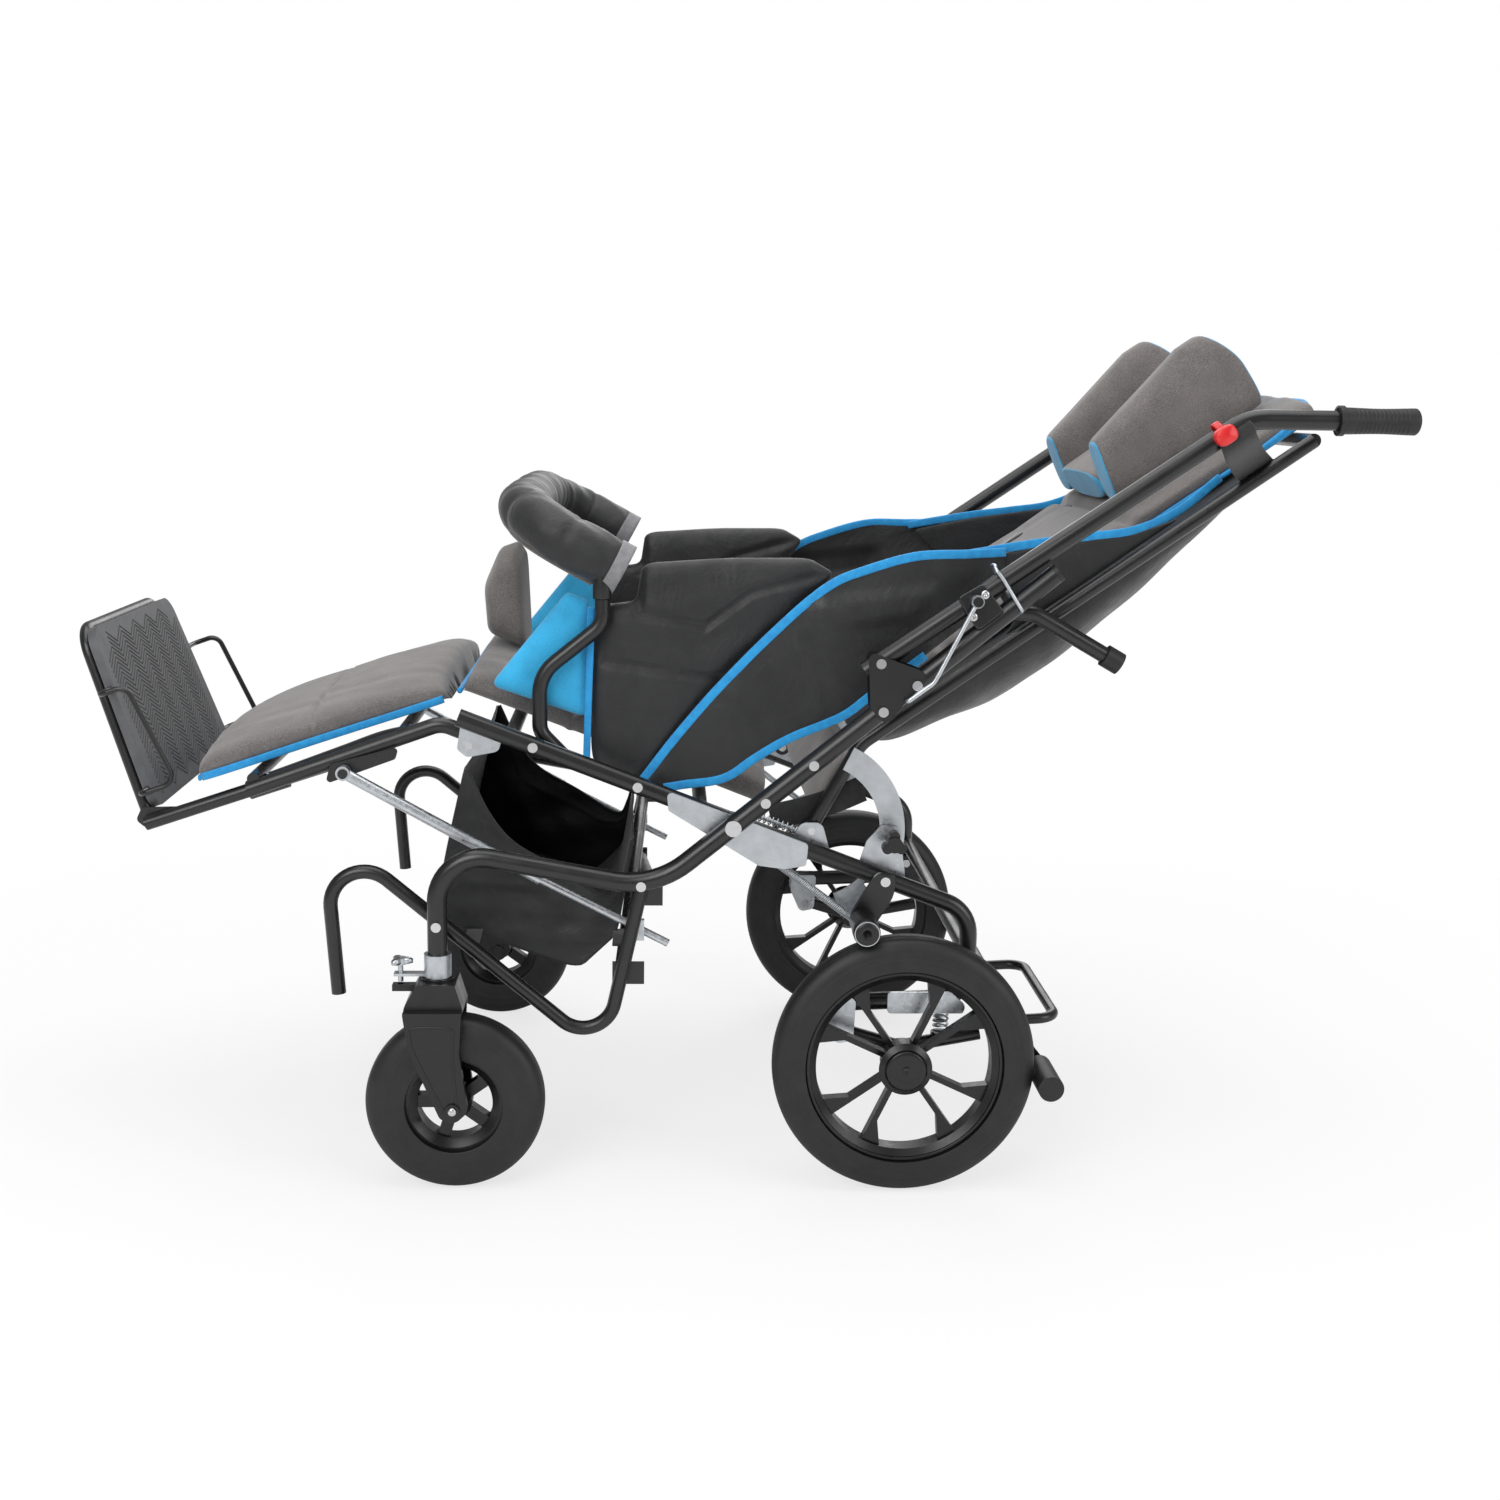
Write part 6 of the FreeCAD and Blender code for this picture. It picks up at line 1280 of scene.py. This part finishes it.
@dataclass
class Undercarriage:
    """Small fittings under the seat: knobs, webbing, brake covers, fork rims and springs."""

    brake_spring: Line = ((-147.0, 371.0), (-47.0, 297.0))
    brake_spring_lane: float = 282.0
    brake_spring_turns: int = 54
    clamp_spring: Line = ((-165.0, 418.0), (-122.0, 402.0))
    clamp_lane: float = 262.0
    clamp_turns: int = 8
    peg: tuple[float, float] = (-48.08, 306.26)
    pivot: tuple[float, float] = (-23.0, 350.6)
    pin: tuple[float, float] = (-561.0, 304.0)
    caster_axle: tuple[float, float, float] = (-502.0, 0.0, 100.0)

    def build(self) -> None:
        """Makes the long springs and the fittings of both sides."""
        self.brake_springs()
        for side in Side:
            self.wing_knob(side)
            self.clamp(side)
            self.brake_cover(side)
            self.fork_panel(side)
            head = [(347.4, 0.3), (347.4, 3.2), (346.2, 4.8), (344.1, 5.0), (343.8, 0.3)]
            dress(Maker.turned(f"{side.word}_axle_head", head, self.caster_axle, "y", 32,
                               side.value), BRIGHT_BOLT, f"{side.word}_caster")
            belt = lane([(-150, 412), (-115, 421), (-80, 432), (-46, 446)],
                        side.value * self.clamp_lane * np.array([0.92, 0.93, 0.93, 0.92]))
            strap(f"{side.word}_frame_webbing", belt, "seat_frame", 1.2, 15)

    @staticmethod
    def coil(name: str, ends: Line, y: float, radius: float | Array, turn: Array, wire: float,
             sides: int) -> Object:
        """A helix of wire about a line in the side view.

        Args:
            name: the piece's name.
            ends: the line's two ends.
            y: the line's place across.
            radius: of the helix.
            turn: its angle at even steps along the line, one row each.
            wire: half the wire's thickness.
            sides: points round the wire.

        Returns:
            The new object.
        """
        start, stop = lane(ends, y)
        axis = (stop - start) / np.linalg.norm(stop - start)
        u = np.linspace(0, 1, len(turn))[:, None]
        path = start + u * (stop - start) + radius * (
            np.cos(turn) * np.array([-axis[2], 0, axis[0]]) + np.sin(turn) * Y_AXIS)
        return Maker.sweep(name, path, wire, None, sides, axis)

    def brake_springs(self) -> None:
        """The two close-wound springs of the upper brakes: helices that close at their ends."""
        u = np.linspace(0, 1, 900)[:, None]
        radius = 3.9 * np.clip(np.minimum(u, 1 - u) * 30 - 1, 0, 1)
        turn = TAU * self.brake_spring_turns * np.clip((u - 0.03) / 0.94, 0, 1)
        coils = [self.coil(f"{side.word}_coil", self.brake_spring,
                           side.value * self.brake_spring_lane, radius, turn, 0.85, 7)
                 for side in Side]
        dress(Maker.joined("long_brake_springs", coils), ZINC_PLATE, "seat_frame",
              ["brake_springs"])

    def clamp(self, side: Side) -> None:
        """A short spring on its rod along the top of the seat tube, behind the scissor."""
        y = side.value * self.clamp_lane
        turn = TAU * self.clamp_turns * np.linspace(0, 1, 240)[:, None]
        dress(self.coil(f"{side.word}_clamp_spring", self.clamp_spring, y, 4.6, turn, 0.9, 8),
              ZINC_PLATE, "seat_frame")
        start, stop = lane(self.clamp_spring, y)
        rod = start + np.linspace(-0.25, 1.25, 12)[:, None] * (stop - start)
        trim(f"{side.word}_clamp_rod", rod, ZINC_PLATE, "seat_frame", 2.4, None, 16, (0, 1, 0))

    def brake_cover(self, side: Side) -> None:
        """The black sleeve on an upper brake peg, and the black link over its arm."""
        (px, pz), (qx, qz) = self.peg, self.pivot
        loop = [(294.0, 13.0), (294.0, 14.4), (330, 14.4), (331, 15.1), (346, 15.1),
                (350.5, 12.8), (350.5, 5.2), (350.2, 4.6), (347, 4.4), (347, 0.4), (345, 0.4),
                (345, 13.0)]
        dress(Maker.turned(f"{side.word}_brake_sleeve", loop, (px, 0, pz), "y", 48, side.value),
              MOULDED, f"{side.word}_brake")
        outline = [(qx + 11.6, qz + 8.6), (qx - 10.6, qz + 11.6), (px - 15.6, pz + 4.6),
                   (px - 10.6, pz - 14.6), (px + 13.6, pz - 8.6), (qx + 10.6, qz - 16.6)]
        plate(f"{side.word}_brake_link", outline, (290.6, 293.9), 0.3, side,
              f"{side.word}_brake")

    def fork_panel(self, side: Side) -> None:
        """A raised rim moulded on both faces of a fork."""
        loop = rounded([(-549, 196), (-499, 196), (-502, 166), (-497, 108), (-503, 98),
                        (-513, 101), (-546, 172)], 150, 0.3)
        for y, label in ((341.0, "outer"), (267.0, "inner")):
            trim(f"{side.word}_{label}_fork_rim", lane(loop, side.value * y), MOULDED,
                 f"{side.word}_caster", 0.9, 1.4, square=0.8, closed=True)

    def wing_knob(self, side: Side) -> None:
        """The three-lobed knob on a caster's lock pin: its radius swells three times a turn."""
        t = np.linspace(0, TAU, 72, endpoint=False)[:, None]
        z = np.array([258.4, 258.4, 259.4, 263.4, 265.0, 265.2])[None]
        size = np.array([0.02, 0.75, 1, 1, 0.8, 0.02])[None]
        r = (9.5 + 4.5 * np.cos(3 * t)) * size
        points = np.stack([self.pin[0] + r * np.cos(t),
                           side.value * self.pin[1] + r * np.sin(t), z + 0 * t], -1)
        obj = Maker.grid(f"{side.word}_wing_knob", points, wrap_u=True)
        dress(obj, ZINC_PLATE, f"{side.word}_lock_pin")


@dataclass
class Studio:
    """Floor, world, lamps and camera; lamps and their aims are metres in the row frame."""

    focal: float = 1884.0
    frame_width: float = 1500.0
    sensor: float = 36.0
    eye: tuple[float, float, float] = (-279.2, -2325.0, 885.0)
    pitch: float = 10.73
    yaw: float = 2.88
    roll: float = 0.96
    floor_half: float = 9000.0
    floor_z: float = -0.4
    world_light: float = 0.32

    def build(self) -> None:
        """Makes the whole stage."""
        self.floor()
        self.world()
        for lamp in (("top_softbox", (0, 0, 3.4), 0, 3.2, 72),
                     ("key_softbox", (-1.6, -3.0, 2.4), 0.5, 2.2, 66),
                     ("fill_softbox", (2.8, -2.2, 1.6), 0.5, 2.0, 34),
                     ("rear_softbox", (0.6, 3.2, 2.2), 0.5, 2.4, 38)):
            self.lamp(*lamp)
        self.camera()

    def floor(self) -> None:
        """A large floor of white paper, just under the wheels."""
        h, z = self.floor_half, self.floor_z
        points = np.array([[(-h, -h, z), (-h, h, z)], [(h, -h, z), (h, h, z)]])
        obj = Maker.grid("studio_floor", points, recalc=False)
        obj.data.materials.append(self.paper())
        obj.data.flip_normals()

    @staticmethod
    def paper() -> bpy.types.Material:
        """White paper: it glows to the camera by a share that grows to 1 away from the part."""
        tree = Cover("paper", (0.9, 0.9, 0.9), 0.95)
        glow = tree.add("ShaderNodeEmission", strength=1.0)
        paths = tree.add("ShaderNodeLightPath")
        far = tree.add("ShaderNodeVectorMath", operation="LENGTH")
        tree.link(tree.place, "Object", far, 0)
        grow = tree.add("ShaderNodeMapRange", interpolation_type="SMOOTHSTEP", from_min=0.7,
                        from_max=1.9, to_min=0.72, to_max=1.0)
        tree.link(far, "Value", grow, "Value")
        share = tree.add("ShaderNodeMath", operation="MULTIPLY")
        tree.link(paths, "Is Camera Ray", share, 0)
        tree.link(grow, "Result", share, 1)
        mix = tree.add("ShaderNodeMixShader")
        for into, source in enumerate((share, tree.shader, glow)):
            tree.link(source, 0, mix, into)
        tree.link(mix, 0, tree.out, "Surface")
        return tree.material

    def world(self) -> None:
        """A white surround for the camera and through glass, softer as a light."""
        world = bpy.data.worlds.new("studio")
        bpy.context.scene.world = world
        tree = Tree(world)
        back = tree.nodes["Background"]
        back.inputs[0].default_value = (1, 1, 1, 1)
        paths = tree.add("ShaderNodeLightPath")
        seen = tree.add("ShaderNodeMath", operation="MAXIMUM")
        for into, kind in enumerate(("Is Camera Ray", "Is Transmission Ray")):
            tree.link(paths, kind, seen, into)
        level = tree.add("ShaderNodeMapRange", to_min=self.world_light, to_max=1.0)
        tree.link(seen, 0, level, "Value")
        tree.link(level, 0, back, 1)

    @staticmethod
    def lamp(name: str, at: tuple[float, float, float], aim_z: float, size: float,
             power_w: float) -> None:
        """A square soft lamp turned to a point over the origin."""
        data = bpy.data.lights.new(name, "AREA")
        data.shape, data.size, data.energy = "SQUARE", size, power_w
        away = np.asarray(at, float) - np.array([0, 0, aim_z])
        away /= np.linalg.norm(away)
        ref = Y_AXIS if abs(away[2]) > 0.95 else np.array([0, 0, 1.0])
        right = np.cross(ref, away)
        right /= np.linalg.norm(right)
        stand(name, data, (right, np.cross(away, right), away, at))

    def camera(self) -> None:
        """The camera at the photograph's angle."""
        p, y, r = (math.radians(v) for v in (self.pitch, self.yaw, self.roll))
        ahead = np.array([math.sin(y) * math.cos(p), math.cos(y) * math.cos(p), -math.sin(p)])
        level = np.array([math.cos(y), -math.sin(y), 0.0])
        over = np.cross(level, ahead)
        right = math.cos(r) * level + math.sin(r) * over
        up = -math.sin(r) * level + math.cos(r) * over
        data = bpy.data.cameras.new("photo_camera")
        data.sensor_fit, data.sensor_width = "HORIZONTAL", self.sensor
        data.lens = self.focal / self.frame_width * self.sensor
        scene = bpy.context.scene
        scene.camera = stand("photo_camera", data, (right, up, -ahead, to_row(self.eye)))
        scene.view_settings.view_transform = "Standard"


def stand(name: str, data: bpy.types.ID, columns: Sequence[Sequence[float]]) -> Object:
    """An object of the stage.

    Args:
        name: its name.
        data: its lamp or camera.
        columns: its right, its up, its back and its place.

    Returns:
        The new object.
    """
    obj = bpy.data.objects.new(name, data)
    obj.matrix_world = Matrix([*([*row] for row in zip(*columns)), [0, 0, 0, 1]])
    bpy.context.scene.collection.objects.link(obj)
    return obj


def finish_nodes(frame: dict) -> None:
    """Gives every node of the frame the finish of its slot."""
    slots = {s["node"]: s["material_slot"] for s in frame["record"]["subparts"]}
    for name, obj in frame["nodes"].items():
        material = NODE_FINISHES[slots[name]].material()
        for holder in obj.material_slots:
            holder.material = material
        LOG.info("%s finished as %s", name, material.name)


def main() -> None:
    """Builds the classes in order."""
    logging.basicConfig(level=logging.INFO, format="%(message)s")
    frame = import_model()
    finish_nodes(frame)
    for maker in (SeatCloth(), BackCloth(), HeadSupport(), LegCloth(), FootTread(), GrabBar(),
                  Basket(), Wheels(), HandleTrim(), Undercarriage(), Studio()):
        maker.build()


if __name__ == "__main__":
    main()
